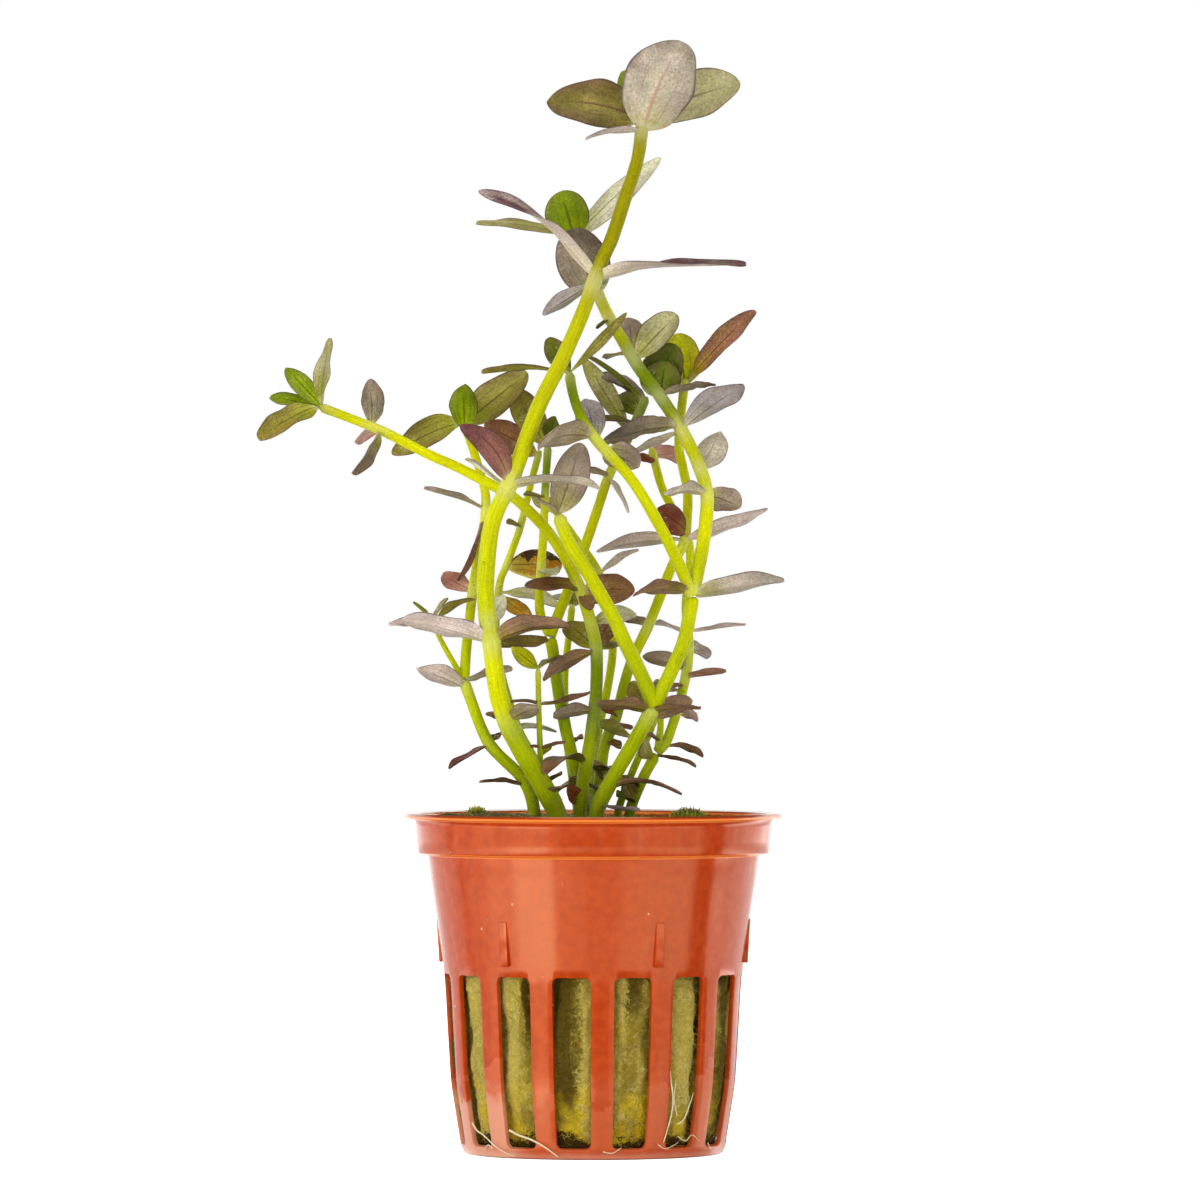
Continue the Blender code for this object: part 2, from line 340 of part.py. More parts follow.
# Looks of each kind of piece: colour, roughness, metallic
TERRACOTTA = ((0.60, 0.13, 0.06), 0.25, 0.0)
ROCKWOOL = ((0.30, 0.27, 0.10), 0.95, 0.0)
MOSS_GREEN = ((0.12, 0.22, 0.04), 0.9, 0.0)
ROOT_WHITE = ((0.80, 0.76, 0.66), 0.6, 0.0)
STEM_GREEN = ((0.42, 0.52, 0.03), 0.5, 0.0)
OLIVE = ((0.16, 0.17, 0.05), 0.55, 0.0)
PURPLE = ((0.16, 0.08, 0.10), 0.55, 0.0)
TAUPE = ((0.33, 0.29, 0.26), 0.6, 0.0)
GREEN = ((0.13, 0.30, 0.02), 0.5, 0.0)
LEAF_LOOKS = {
    "leaf_top_front": TAUPE, "leaf_top_left": OLIVE, "leaf_top_right": TAUPE,
    "leaf_upper_round": TAUPE, "leaf_crown_left": OLIVE, "leaf_crown_round": GREEN,
    "leaf_crown_right": TAUPE, "leaf_wing_right": TAUPE, "leaf_wing_left": TAUPE,
    "leaf_fork_right": TAUPE, "leaf_round_right": TAUPE, "leaf_inner_upright": TAUPE,
    "leaf_tip_up": OLIVE, "leaf_tip_down": OLIVE, "leaf_inner_left": TAUPE,
    "leaf_inner_right": TAUPE, "leaf_back_left": OLIVE, "leaf_back_right": OLIVE,
    "leaf_round_green": GREEN,
}


def clear_scene():
    for obj in list(bpy.data.objects):
        bpy.data.objects.remove(obj, do_unlink=True)


def paint(obj, looks):
    """Give the object a material of its own."""
    colour, roughness, metallic = looks
    material = bpy.data.materials.new(obj.name)
    material.use_nodes = True
    shader = material.node_tree.nodes["Principled BSDF"]
    shader.inputs["Base Color"].default_value = (*colour, 1)
    shader.inputs["Roughness"].default_value = roughness
    shader.inputs["Metallic"].default_value = metallic
    obj.data.materials.clear()
    obj.data.materials.append(material)


def add_object(name, bm):
    """Put a bmesh drawn in millimetres into the scene, in metres."""
    bmesh.ops.scale(bm, vec=(MM, MM, MM), verts=bm.verts)
    bmesh.ops.recalc_face_normals(bm, faces=bm.faces)
    mesh = bpy.data.meshes.new(name)
    bm.to_mesh(mesh)
    bm.free()
    obj = bpy.data.objects.new(name, mesh)
    bpy.context.scene.collection.objects.link(obj)
    return obj


def around(turn, radius, height):
    """Place a point by its turn from the front, to the right."""
    return Vector((radius * math.sin(turn), -radius * math.cos(turn), height))


def spin_profile(bm, profile, start, steps):
    """Turn a profile about Z, one spin for each of the unequal steps."""
    verts = [bm.verts.new(around(start, r, z)) for r, z in profile]
    edges = [bm.edges.new(pair) for pair in zip(verts, verts[1:])]
    last = verts + edges
    for step in steps:
        last = bmesh.ops.spin(bm, geom=last, axis=(0, 0, 1), cent=(0, 0, 0), steps=1, angle=step)["geom_last"]
    bmesh.ops.remove_doubles(bm, verts=bm.verts, dist=0.001)


def in_slot(face):
    """Tell whether a face of the pot's skin lies where a slot is open."""
    middle = face.calc_center_median()
    turn = math.atan2(middle.x, -middle.y) - SLOT_TURN + SLOT_WIDTH / 2
    inside = turn % (math.tau / SLOT_COUNT) < SLOT_WIDTH
    radius = math.hypot(middle.x, middle.y)
    in_wall = SLOT_FOOT < middle.z < SLOT_HEAD
    in_floor = middle.z < 0.01 and FLOOR_SLOT_IN < radius < FLOOR_SLOT_OUT
    return inside and (in_wall or in_floor)


def skin_radius(height):
    """Read the pot's outer radius at a height above its floor."""
    wall = POT_SKIN[3:]
    for (r_low, z_low), (r_high, z_high) in zip(wall, wall[1:]):
        if z_low <= height <= z_high:
            return r_low + (r_high - r_low) * (height - z_low) / (z_high - z_low)
    return wall[-1][0]


def add_ribs():
    """Model the six small wedges on the pot's wall as one cutter."""
    bm = bmesh.new()
    height = RIB_HEAD - RIB_FOOT
    for index in range(RIB_COUNT):
        turn = RIB_TURN + index * math.tau / RIB_COUNT
        block = bmesh.ops.create_cube(bm, size=1)["verts"]
        bmesh.ops.scale(bm, vec=(RIB_WIDTH, RIB_DEPTH, height), verts=block)
        for vert in block:
            if vert.co.z > 0 and vert.co.y < 0:
                vert.co.y += RIB_SLOPE
        place = around(turn, skin_radius(RIB_FOOT) + RIB_STAND, (RIB_FOOT + RIB_HEAD) / 2)
        bmesh.ops.transform(bm, matrix=Matrix.Translation(place) @ Matrix.Rotation(turn, 4, "Z"), verts=block)
    ribs = add_object("ribs_cutter", bm)
    ribs.hide_render = True
    ribs.display_type = "WIRE"
    return ribs


def add_pot():
    """Spin the skin, open the slots, thicken it inward and join the ribs."""
    bm = bmesh.new()
    steps = [SLOT_WIDTH, STRIP_WIDTH] * SLOT_COUNT
    spin_profile(bm, POT_SKIN, SLOT_TURN - SLOT_WIDTH / 2, steps)
    bmesh.ops.delete(bm, geom=[face for face in bm.faces if in_slot(face)], context="FACES")
    pot = add_object("net_pot", bm)
    if sum(polygon.normal.z for polygon in pot.data.polygons if polygon.center.z < MM / 10) > 0:
        pot.data.flip_normals()
    wall = pot.modifiers.new("wall", "SOLIDIFY")
    wall.thickness = POT_WALL * MM
    wall.offset = -1
    wall.use_even_offset = True
    join = pot.modifiers.new("ribs", "BOOLEAN")
    join.operation = "UNION"
    join.object = add_ribs()
    paint(pot, TERRACOTTA)


def add_plug():
    """Turn the rockwool plug to the pot's inner form."""
    clear = POT_WALL + PLUG_CLEAR
    wall = [(skin_radius(z) - clear, z) for z in PLUG_ROWS]
    neck = skin_radius(PLUG_ROWS[-1]) - clear
    top = skin_radius(PLUG_TOP) - clear
    step = PLUG_ROWS[-1] + PLUG_STEP
    shoulder = [(neck, step), (top - PLUG_EDGE, step + PLUG_EDGE)]
    edge = [(top, PLUG_TOP - PLUG_EDGE), (top - PLUG_EDGE, PLUG_TOP)]
    profile = [(0, PLUG_FOOT)] + wall + shoulder + edge + [(0, PLUG_TOP)]
    bm = bmesh.new()
    spin_profile(bm, profile, 0, [math.tau / PLUG_SIDES] * PLUG_SIDES)
    paint(add_object("rockwool_plug", bm), ROCKWOOL)


def add_moss():
    for name, (middle, half) in MOSS.items():
        bm = bmesh.new()
        bmesh.ops.create_icosphere(bm, subdivisions=2, radius=1)
        bmesh.ops.scale(bm, vec=half, verts=bm.verts)
        bmesh.ops.translate(bm, vec=middle, verts=bm.verts)
        paint(add_object(name, bm), MOSS_GREEN)


def tube(name, points, foot_radius, tip_radius, sides):
    """Make a round closed stem along a smooth curve through the points."""
    curve = bpy.data.curves.new(name, "CURVE")
    curve.dimensions = "3D"
    curve.bevel_depth = MM
    curve.bevel_resolution = (sides - 4) // 2
    curve.use_fill_caps = True
    curve.resolution_u = 1
    spline = curve.splines.new("BEZIER")
    spline.bezier_points.add(len(points) - 1)
    last = len(points) - 1
    for index, (knot, point) in enumerate(zip(spline.bezier_points, points)):
        knot.co = Vector(point) * MM
        knot.handle_left_type = "AUTO"
        knot.handle_right_type = "AUTO"
        knot.radius = foot_radius + (tip_radius - foot_radius) * index / last
    guide = bpy.data.objects.new(name, curve)
    bpy.context.scene.collection.objects.link(guide)
    mesh = bpy.data.meshes.new_from_object(guide.evaluated_get(bpy.context.evaluated_depsgraph_get()))
    bpy.data.objects.remove(guide, do_unlink=True)
    bpy.data.curves.remove(curve)
    obj = bpy.data.objects.new(name, mesh)
    bpy.context.scene.collection.objects.link(obj)
    return obj


def leaf(name, foot, tip, width, looks, arch, fold, stations):
    """Shape a ball into a thin blade that runs from foot to tip.

    looks is the way the upper side faces, arch lifts the blade's middle that way and fold
    lifts its two edges.
    """
    foot, tip = Vector(foot), Vector(tip)
    along = (tip - foot).normalized()
    length = (tip - foot).length
    up = Vector(looks)
    up = (up - up.dot(along) * along).normalized()
    across = along.cross(up)
    bm = bmesh.new()
    bmesh.ops.create_uvsphere(bm, u_segments=4, v_segments=stations, radius=1)
    for vert in bm.verts:
        share = (1 + vert.co.z) / 2
        ring = math.sqrt(max(1 - vert.co.z ** 2, 0))
        side = vert.co.x / ring if ring > 0.01 else 0
        face = vert.co.y / ring if ring > 0.01 else 0
        blade = ring * (FOOT_SHARE + (TIP_SHARE - FOOT_SHARE) * share)
        half = width / 2 * blade
        lift = arch * 4 * share * (1 - share) + fold * abs(side) * blade
        thick = LEAF_THICK / 2 * face * min(1, 3 * ring)
        vert.co = foot + along * length * share + across * half * side + up * (lift + thick)
    return add_object(name, bm)


def apply_booleans(obj, operation, others):
    """Cut or join the others into the object, then take them out of the scene."""
    for other in others:
        modifier = obj.modifiers.new(other.name, "BOOLEAN")
        modifier.operation = operation
        modifier.object = other
    mesh = bpy.data.meshes.new_from_object(obj.evaluated_get(bpy.context.evaluated_depsgraph_get()))
    obj.modifiers.clear()
    obj.data = mesh
    for other in others:
        bpy.data.objects.remove(other, do_unlink=True)


def clearance(name):
    """Make a stem's form with the gap added all round and at both ends."""
    foot, tip, points = STEMS[name]
    route = [Vector(point) for point in points]
    route[0] -= (route[1] - route[0]).normalized() * GAP
    route[-1] += (route[-1] - route[-2]).normalized() * GAP
    return tube(name + "_clear", route, foot + GAP, tip + GAP, 8)


def add_stems():
    """Make each stem, cut it clear of what carries it and fuse its small leaves to it."""
    for name, (foot_radius, tip_radius, points) in STEMS.items():
        sides = 8 if foot_radius > THICK_STEM else 6
        stem = tube(name, points, foot_radius, tip_radius, sides)
        apply_booleans(stem, "DIFFERENCE", [clearance(carrier) for carrier in CARRIERS.get(name, ())])
        small = []
        for index, row in enumerate(SMALL_LEAVES.get(name, ())):
            length = (Vector(row[1]) - Vector(row[0])).length
            stations = TINY_LEAF_STATIONS if length < TINY_LEAF_LENGTH else SMALL_LEAF_STATIONS
            small.append(leaf(f"{name}_leaf_{index}", *row, stations))
        apply_booleans(stem, "UNION", small)
        paint(stem, STEM_GREEN)


def add_leaves():
    """Make the larger leaves, each one a piece of its own."""
    for name, (foot, tip, width, looks, arch, fold) in LEAVES.items():
        along = (Vector(tip) - Vector(foot)).normalized()
        blade = leaf(name, Vector(foot) + along * GAP, tip, width, looks, arch, fold, LEAF_STATIONS)
        paint(blade, LEAF_LOOKS.get(name, PURPLE))


def add_roots():
    for name, route in ROOTS.items():
        points = [around(math.radians(turn), radius, height) for turn, radius, height in route]
        paint(tube(name, points, ROOT_RADIUS, ROOT_RADIUS, 6), ROOT_WHITE)


clear_scene()
add_pot()
add_plug()
add_moss()
add_roots()
add_stems()
add_leaves()
for piece in bpy.context.scene.objects:
    if not piece.name.startswith("leaf"):
        piece.data.shade_smooth()
        piece.data.set_sharp_from_angle(angle=math.radians(40))
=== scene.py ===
"""The looks of a potted purple bacopa salzmannii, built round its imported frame.

Shapes are drawn in millimetres and become metres as each piece is placed. The origin is the
middle of the pot's underside, Z is up, and the side seen in the photograph looks along -Y.
"""
import math
import random

import bmesh
import bpy
import numpy as np
from mathutils import Matrix, Vector, noise
from mathutils.geometry import interpolate_bezier


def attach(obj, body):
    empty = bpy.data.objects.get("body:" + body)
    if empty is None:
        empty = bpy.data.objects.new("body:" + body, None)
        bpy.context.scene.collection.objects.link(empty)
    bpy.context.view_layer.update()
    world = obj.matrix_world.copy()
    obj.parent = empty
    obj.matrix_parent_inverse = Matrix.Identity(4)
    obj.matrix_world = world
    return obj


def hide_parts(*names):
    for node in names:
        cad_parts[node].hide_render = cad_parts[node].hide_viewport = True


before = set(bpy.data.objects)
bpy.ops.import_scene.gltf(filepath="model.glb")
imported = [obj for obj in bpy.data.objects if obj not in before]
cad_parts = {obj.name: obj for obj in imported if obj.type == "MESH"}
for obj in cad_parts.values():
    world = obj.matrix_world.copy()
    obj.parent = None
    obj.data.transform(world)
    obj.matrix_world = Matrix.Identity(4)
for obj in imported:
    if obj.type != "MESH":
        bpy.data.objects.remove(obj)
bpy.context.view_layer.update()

# The net pot is one thin moulding in glossy orange-brown plastic: a flat rim, a stepped
# collar, fifteen slots in its wall and floor, and six small ribs that lock it in a tray.
# Its skin is turned in one go, the slots are left out, and the wall is thickened inward.
MM = 0.001
# Its outside as pairs of radius and height: the wall, the floor, and the collar up to the rim
POT_WALL_ROUTE = (
    (18.9, 0.6), (19.25, 1.5), (19.6, 3.5), (20.15, 7), (20.65, 10.4), (21.0, 15.7), (21.25, 20),
    (21.5, 24.4), (21.85, 27.8), (22.55, 33.1), (23.05, 36.5), (23.75, 41.0), (24.0, 43.1),
)
POT_FLOOR = ((0, 0), (4, 0), (8, 0), (12, 0), (15.5, 0), (17.5, 0), (18.4, 0.06), (18.75, 0.25))
POT_COLLAR = (
    (24.05, 43.3), (24.25, 43.45), (25.1, 43.47), (25.4, 43.56), (25.5, 43.8), (25.62, 45.4),
    (25.8, 47.6), (25.88, 48.2), (26.1, 48.52), (26.5, 48.6), (27.3, 48.62), (27.47, 48.7),
)
POT_WALL, WALL_TOP = 0.7, POT_WALL_ROUTE[-1][1]
# Faces of the skin lower than this belong to the floor
FLOOR_TOP = 0.05
SLOT_COUNT = 15
SLOT_WIDTH = math.radians(15)
SLOT_PITCH = math.tau / SLOT_COUNT
# Turn of the first slot's middle from the front, to the right
SLOT_TURN = math.radians(-8.5)
SLOT_FOOT, SLOT_HEAD = 1.5, 26.2
SLOT_CORNER = 0.95
# Steps round a corner, across a slot and across the strip between two; rows up a slot and on
# to the collar
CORNER_STEPS, SLOT_STEPS, STRIP_STEPS = 3, 4, 3
SLOT_ROWS, UPPER_ROWS = 14, 12
FLOOR_SLOT_IN, FLOOR_SLOT_OUT = 8, 15.5
EDGE_ROUNDING = 0.13
RIB_COUNT = 6
RIB_TURN = math.radians(25)
RIB_FOOT, RIB_HEAD, RIB_WIDTH = 27.7, 34.1, 1.35
# A rib's block, how far its middle stands out from the skin, and what is cut from its outer
# face at the head and at the foot
RIB_DEEP, RIB_OUT, RIB_CUT_HEAD, RIB_CUT_FOOT = 1.2, 0.1, 0.55, 0.1
RIB_ROUNDING = 0.12
# Heights of thin edges of the moulding that get a pale painted highlight, and half their width
PAINTED_EDGE_HIGHLIGHTS = ((48.65, 0.35), (43.4, 0.3))


class Wire:
    """A socket of a finish, on which plain arithmetic adds Math nodes."""

    def __init__(self, finish, socket):
        self.finish = finish
        self.socket = socket

    def maths(self, operation, first, second):
        return self.finish.node("Math", {"operation": operation}, {0: first, 1: second})

    def __add__(self, other):
        return self.maths("ADD", self, other)

    def __sub__(self, other):
        return self.maths("SUBTRACT", self, other)

    def __rsub__(self, other):
        return self.maths("SUBTRACT", other, self)

    def __mul__(self, other):
        return self.maths("MULTIPLY", self, other)

    def __abs__(self):
        return self.finish.node("Math", {"operation": "ABSOLUTE"}, {0: self})

    __radd__, __rmul__ = __add__, __mul__


class Finish:
    """A material with one Principled shader, whose patterns are made by the methods below."""

    def __init__(self, name, **looks):
        self.material = bpy.data.materials.new(name)
        self.material.use_nodes = True
        self.tree = self.material.node_tree
        self.shader = self.tree.nodes["Principled BSDF"]
        for words, value in looks.items():
            self.feed(self.shader.inputs[words.replace("_", " ")], value)
        self.place = self.node("TexCoord", output="Object")

    def feed(self, socket, value):
        if isinstance(value, Wire):
            self.tree.links.new(value.socket, socket)
        elif socket.type == "RGBA":
            socket.default_value = (*value, 1)
        else:
            socket.default_value = value

    def node(self, kind, settings=None, inputs=None, output=0):
        made = self.tree.nodes.new("ShaderNode" + kind)
        for word, value in (settings or {}).items():
            setattr(made, word, value)
        for place, value in (inputs or {}).items():
            self.feed(made.inputs[place], value)
        return Wire(self, made.outputs[output])

    def drive(self, words, value):
        self.feed(self.shader.inputs[words], value)

    def clouds(self, scale, detail=3.0, where=None, rough=0.55, swirl=0.0):
        """Noise from 0 to 1, with scale in spots a millimetre."""
        looks = {"Scale": scale / MM, "Detail": detail, "Roughness": rough, "Distortion": swirl}
        return self.node("TexNoise", None, {"Vector": where or self.place, **looks})

    def drawn_out(self, share):
        """The place with only a share of its height, on which patterns stand long and upright."""
        return self.node("Mapping", None, {"Vector": self.place, "Scale": (1, 1, share)})

    def ease(self, value, low, high):
        """Smooth mask that rises from 0 to 1 as the value goes from low to high."""
        ends = {"Value": value, "From Min": low, "From Max": high}
        return self.node("MapRange", {"interpolation_type": "SMOOTHSTEP"}, ends)

    def ease_mm(self, value, low, high):
        """The same mask for a measure of place, with its ends in millimetres."""
        return self.ease(value, low * MM, high * MM)

    def blend(self, under, over, mask, way="MIX"):
        """Lay one colour over another where the mask is 1."""
        looks = {"data_type": "RGBA", "blend_type": way}
        return self.node("Mix", looks, {0: mask, 6: under, 7: over}, output=2)

    def split(self, vector):
        """The three numbers of a vector."""
        split = self.node("SeparateXYZ", None, {0: vector}).socket.node
        return [Wire(self, socket) for socket in split.outputs]

    def parts(self, name):
        """The three numbers that a piece's mesh keeps in an attribute."""
        return self.split(self.node("Attribute", {"attribute_name": name}, output="Vector"))

    def relief(self, height, depth):
        """Bump of the given depth in millimetres."""
        self.drive("Normal", self.node("Bump", None, {"Height": height, "Distance": depth * MM}))


def around(turn, radius, height):
    """Place a point by its turn from the front, to the right."""
    return Vector((radius * math.sin(turn), -radius * math.cos(turn), height))


def turn_of(point):
    """A point's turn from the front, to the right."""
    return math.atan2(point.x, -point.y)


def smooth_route(points, step):
    """Read points about a step apart from a smooth curve through the given ones."""
    knots = [Vector(point) for point in points]
    knots = [knots[0] * 2 - knots[1]] + knots + [knots[-1] * 2 - knots[-2]]
    route = []
    for before, start, end, after in zip(knots, knots[1:], knots[2:], knots[3:]):
        count = max(round((end - start).length / step), 1)
        lead, trail = start + (end - before) / 6, end - (after - start) / 6
        route += interpolate_bezier(start, lead, trail, end, count + 1)[:-1]
    return route + [knots[-2]]


def to_mesh(name, bm):
    mesh = bpy.data.meshes.new(name)
    bm.to_mesh(mesh)
    bm.free()
    return mesh


def to_scene(name, data):
    """Put an object with the given mesh, light or camera in the scene."""
    made = bpy.data.objects.new(name, data)
    bpy.context.scene.collection.objects.link(made)
    return made


def place_piece(name, bm, finishes, slot, nodes=(), sharp=40):
    """Turn a bmesh drawn in millimetres into a shaded piece of the plant or its pot."""
    bmesh.ops.recalc_face_normals(bm, faces=bm.faces)
    bmesh.ops.scale(bm, vec=(MM, MM, MM), verts=bm.verts)
    mesh = to_mesh(name, bm)
    for finish in finishes:
        mesh.materials.append(finish.material)
    mesh.shade_smooth()
    mesh.set_sharp_from_angle(angle=math.radians(sharp))
    piece = to_scene(name, mesh)
    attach(piece, "root")
    if nodes:
        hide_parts(*nodes)
    return piece


wall_line = np.array([
    (point.x, point.z) for point in smooth_route([(r, 0, z) for r, z in POT_WALL_ROUTE], 0.4)])


def wall_radius(height):
    return float(np.interp(height, wall_line[:, 1], wall_line[:, 0]))


def pot_profile():
    """Radius and height of each ring of the skin, from the middle of the floor to the rim."""
    corner = [SLOT_CORNER * step / CORNER_STEPS for step in range(CORNER_STEPS + 1)]
    low = [SLOT_FOOT + rise for rise in corner]
    high = [SLOT_HEAD - rise for rise in reversed(corner)]
    between = list(np.linspace(low[-1], high[0], SLOT_ROWS)[1:-1])
    above = list(np.linspace(SLOT_HEAD, WALL_TOP, UPPER_ROWS)[1:])
    wall = [(wall_radius(z), z) for z in [0.6, 1.0] + low + between + high + above]
    return list(POT_FLOOR) + wall + list(POT_COLLAR)


def slot_place(point):
    """A point's turn from the middle of the nearest slot."""
    turn = turn_of(point) - SLOT_TURN + SLOT_PITCH / 2
    return turn % SLOT_PITCH - SLOT_PITCH / 2


def corner_offset(point):
    """How far a point is past the centre of the nearest rounded corner, along the wall and up."""
    radius = math.hypot(point.x, point.y)
    along = (abs(slot_place(point)) - SLOT_WIDTH / 2) * radius + SLOT_CORNER
    middle = (SLOT_HEAD + SLOT_FOOT) / 2
    up = abs(point.z - middle) - (SLOT_HEAD - SLOT_FOOT) / 2 + SLOT_CORNER
    return along, up


def is_open(face):
    """Tell whether a face of the pot's skin lies where a slot is open."""
    middle = face.calc_center_median()
    if abs(slot_place(middle)) > SLOT_WIDTH / 2:
        return False
    if middle.z < FLOOR_TOP:
        return FLOOR_SLOT_IN < math.hypot(middle.x, middle.y) < FLOOR_SLOT_OUT
    if not SLOT_FOOT < middle.z < SLOT_HEAD:
        return False
    along, up = corner_offset(middle)
    return along < 0 or up < 0 or math.hypot(along, up) < SLOT_CORNER


def round_corners(bm):
    """Push the stepped corner of each slot out to a quarter circle."""
    for vert in bm.verts:
        if not vert.is_boundary or vert.co.z < SLOT_FOOT - 0.01 or vert.co.z > SLOT_HEAD + 0.01:
            continue
        along, up = corner_offset(vert.co)
        if along < 0.01 or up < 0.01:
            continue
        grow = SLOT_CORNER / math.hypot(along, up)
        side = math.copysign(1, slot_place(vert.co))
        turn = turn_of(vert.co) + side * along * (grow - 1) / vert.co.xy.length
        rise = math.copysign(1, vert.co.z - (SLOT_HEAD + SLOT_FOOT) / 2)
        height = vert.co.z + rise * up * (grow - 1)
        vert.co = around(turn, wall_radius(height), height)


def turn_pot():
    """Spin the profile round in steps that fit the slots, and open the slots."""
    bm = bmesh.new()
    start = SLOT_TURN - SLOT_WIDTH / 2
    verts = [bm.verts.new(around(start, r, z)) for r, z in pot_profile()]
    edges = [bm.edges.new(pair) for pair in zip(verts, verts[1:])]
    corner = SLOT_CORNER / wall_radius(SLOT_HEAD) / CORNER_STEPS
    corners = [corner] * CORNER_STEPS
    slot = corners + [(SLOT_WIDTH - 2 * corner * CORNER_STEPS) / SLOT_STEPS] * SLOT_STEPS + corners
    strip = [(SLOT_PITCH - SLOT_WIDTH) / STRIP_STEPS] * STRIP_STEPS
    last = verts + edges
    for step in (slot + strip) * SLOT_COUNT:
        last = bmesh.ops.spin(bm, geom=last, axis=(0, 0, 1), cent=(0, 0, 0), steps=1, angle=step)["geom_last"]
    bmesh.ops.remove_doubles(bm, verts=bm.verts, dist=0.002)
    bmesh.ops.delete(bm, geom=[face for face in bm.faces if is_open(face)], context="FACES")
    bmesh.ops.recalc_face_normals(bm, faces=bm.faces)
    if sum(face.normal.z for face in bm.faces if face.calc_center_median().z < FLOOR_TOP) > 0:
        bmesh.ops.reverse_faces(bm, faces=bm.faces)
    round_corners(bm)
    return bm


def thicken(bm):
    """Give the skin its wall and soften the edges of the slots and rim."""
    mesh = to_mesh("pot_skin", bm)
    skin = to_scene("pot_skin", mesh)
    wall = skin.modifiers.new("wall", "SOLIDIFY")
    wall.thickness = POT_WALL
    wall.offset = -1
    wall.use_even_offset = True
    edge = skin.modifiers.new("edge", "BEVEL")
    edge.width = EDGE_ROUNDING
    edge.segments = 2
    edge.limit_method = "ANGLE"
    edge.angle_limit = math.radians(50)
    solid = bmesh.new()
    solid.from_object(skin, bpy.context.evaluated_depsgraph_get())
    bpy.data.objects.remove(skin)
    bpy.data.meshes.remove(mesh)
    return solid


def add_ribs(bm):
    """Set the six small wedges on the wall, which stand out more at their lower end."""
    height = RIB_HEAD - RIB_FOOT
    head, foot = wall_radius(RIB_HEAD), wall_radius(RIB_FOOT)
    lean = math.atan2(head - foot, height)
    for index in range(RIB_COUNT):
        turn = RIB_TURN + index * math.tau / RIB_COUNT
        block = bmesh.ops.create_cube(bm, size=1)["verts"]
        bmesh.ops.scale(bm, vec=(RIB_WIDTH, RIB_DEEP, height), verts=block)
        for vert in block:
            if vert.co.y < 0:
                vert.co.y += RIB_CUT_HEAD if vert.co.z > 0 else RIB_CUT_FOOT
        edges = [edge for edge in bm.edges if edge.verts[0] in block and edge.verts[1] in block]
        bevelled = bmesh.ops.bevel(
            bm, geom=edges, offset=RIB_ROUNDING, segments=2, profile=0.5, affect="EDGES",
            material=-1)["verts"]
        middle = around(turn, (head + foot) / 2 + RIB_OUT, (RIB_FOOT + RIB_HEAD) / 2)
        place = Matrix.Translation(middle) @ Matrix.Rotation(turn, 4, "Z") @ Matrix.Rotation(lean, 4, "X")
        bmesh.ops.transform(bm, matrix=place, verts=bevelled)


def pot_plastic():
    """Mottled and dusty, filmed with lime low down, with painted highlights on its thin edges and foot, and
    darker brown in the collar and on the rim.
    """
    plastic = Finish("terracotta plastic", Specular_IOR_Level=1.0, Specular_Tint=(1, 0.65, 0.35))
    across, _, height = plastic.split(plastic.place)
    mottle = plastic.clouds(0.7, 5)
    shade = plastic.blend((0.45, 0.034, 0.0), (0.525, 0.048, 0.001), plastic.ease(mottle, 0.35, 0.65))
    dust = plastic.ease(plastic.clouds(0.35, 5, plastic.drawn_out(0.12)), 0.52, 0.8)
    shade = plastic.blend(shade, (0.66, 0.19, 0.09), dust * 0.2)
    low_down = height * 40 - plastic.clouds(0.1, 3) * 1.2 - plastic.clouds(0.5, 2) * 0.2
    film = plastic.ease(low_down, -0.29, -0.34)
    shade = plastic.blend(shade, (0.64, 0.15, 0.06), film * 0.35)
    # A whitish lime film low on the left strips, and a painted highlight in a pale band along the foot of the
    # pot
    lime_patch_and_foot_highlight = film * plastic.ease_mm(across, -9, -13) * plastic.ease_mm(height + mottle * (6 * MM), 14.5, 10)
    lime_patch_and_foot_highlight = lime_patch_and_foot_highlight + plastic.ease_mm(height + mottle * MM, 1.8, 0.9) * 0.7
    shade = plastic.blend(shade, (0.86, 0.46, 0.32), lime_patch_and_foot_highlight * 0.5)
    # Painted highlight: a paler orange band along each thin edge of the rim and collar
    for middle, half in PAINTED_EDGE_HIGHLIGHTS:
        edge = plastic.ease_mm(abs(height - middle * MM), half, half * 0.6)
        shade = plastic.blend(shade, (1.0, 0.26, 0.045), edge * 0.85)
    # Darker brown inside the collar and along the top of the rim
    reach = plastic.node("VectorMath", {"operation": "LENGTH"}, {0: plastic.drawn_out(0)}, output="Value")
    inside = plastic.ease_mm(reach + (mottle - 0.5) * (0.5 * MM), 25.5, 25.2)
    dark_collar_band = plastic.ease_mm(height, 46.2, 47.6) * inside + plastic.ease_mm(height, 48.95, 49.2) * 0.8
    shade = plastic.blend(shade, (0.13, 0.035, 0.01), dark_collar_band * 0.9)
    cells = {"Vector": plastic.place, "Scale": 0.42 / MM}
    specks = plastic.node("TexVoronoi", None, cells, output="Distance")
    rare = plastic.ease(plastic.clouds(0.16, 1), 0.6, 0.66)
    dirt = plastic.ease(specks, 0.085, 0.04) * rare
    lime = plastic.ease(specks, 0.1, 0.05) * plastic.ease(plastic.clouds(0.13, 1), 0.42, 0.36)
    shade = plastic.blend(shade, (0.13, 0.05, 0.01), dirt)
    shade = plastic.blend(shade, (0.85, 0.55, 0.40), lime * 0.8)
    plastic.drive("Base Color", shade)
    plastic.drive("Roughness", 0.14 + mottle * 0.1 + dust * 0.1 + film * 0.12)
    plastic.relief(plastic.clouds(1.6, 2) * 0.1 + plastic.clouds(0.12, 2) * 0.5 + lime * 0.8, 0.04)
    return plastic


pot = thicken(turn_pot())
add_ribs(pot)
place_piece("net_pot_moulding", pot, [pot_plastic()], "pot_plastic", ["net_pot"], sharp=35)

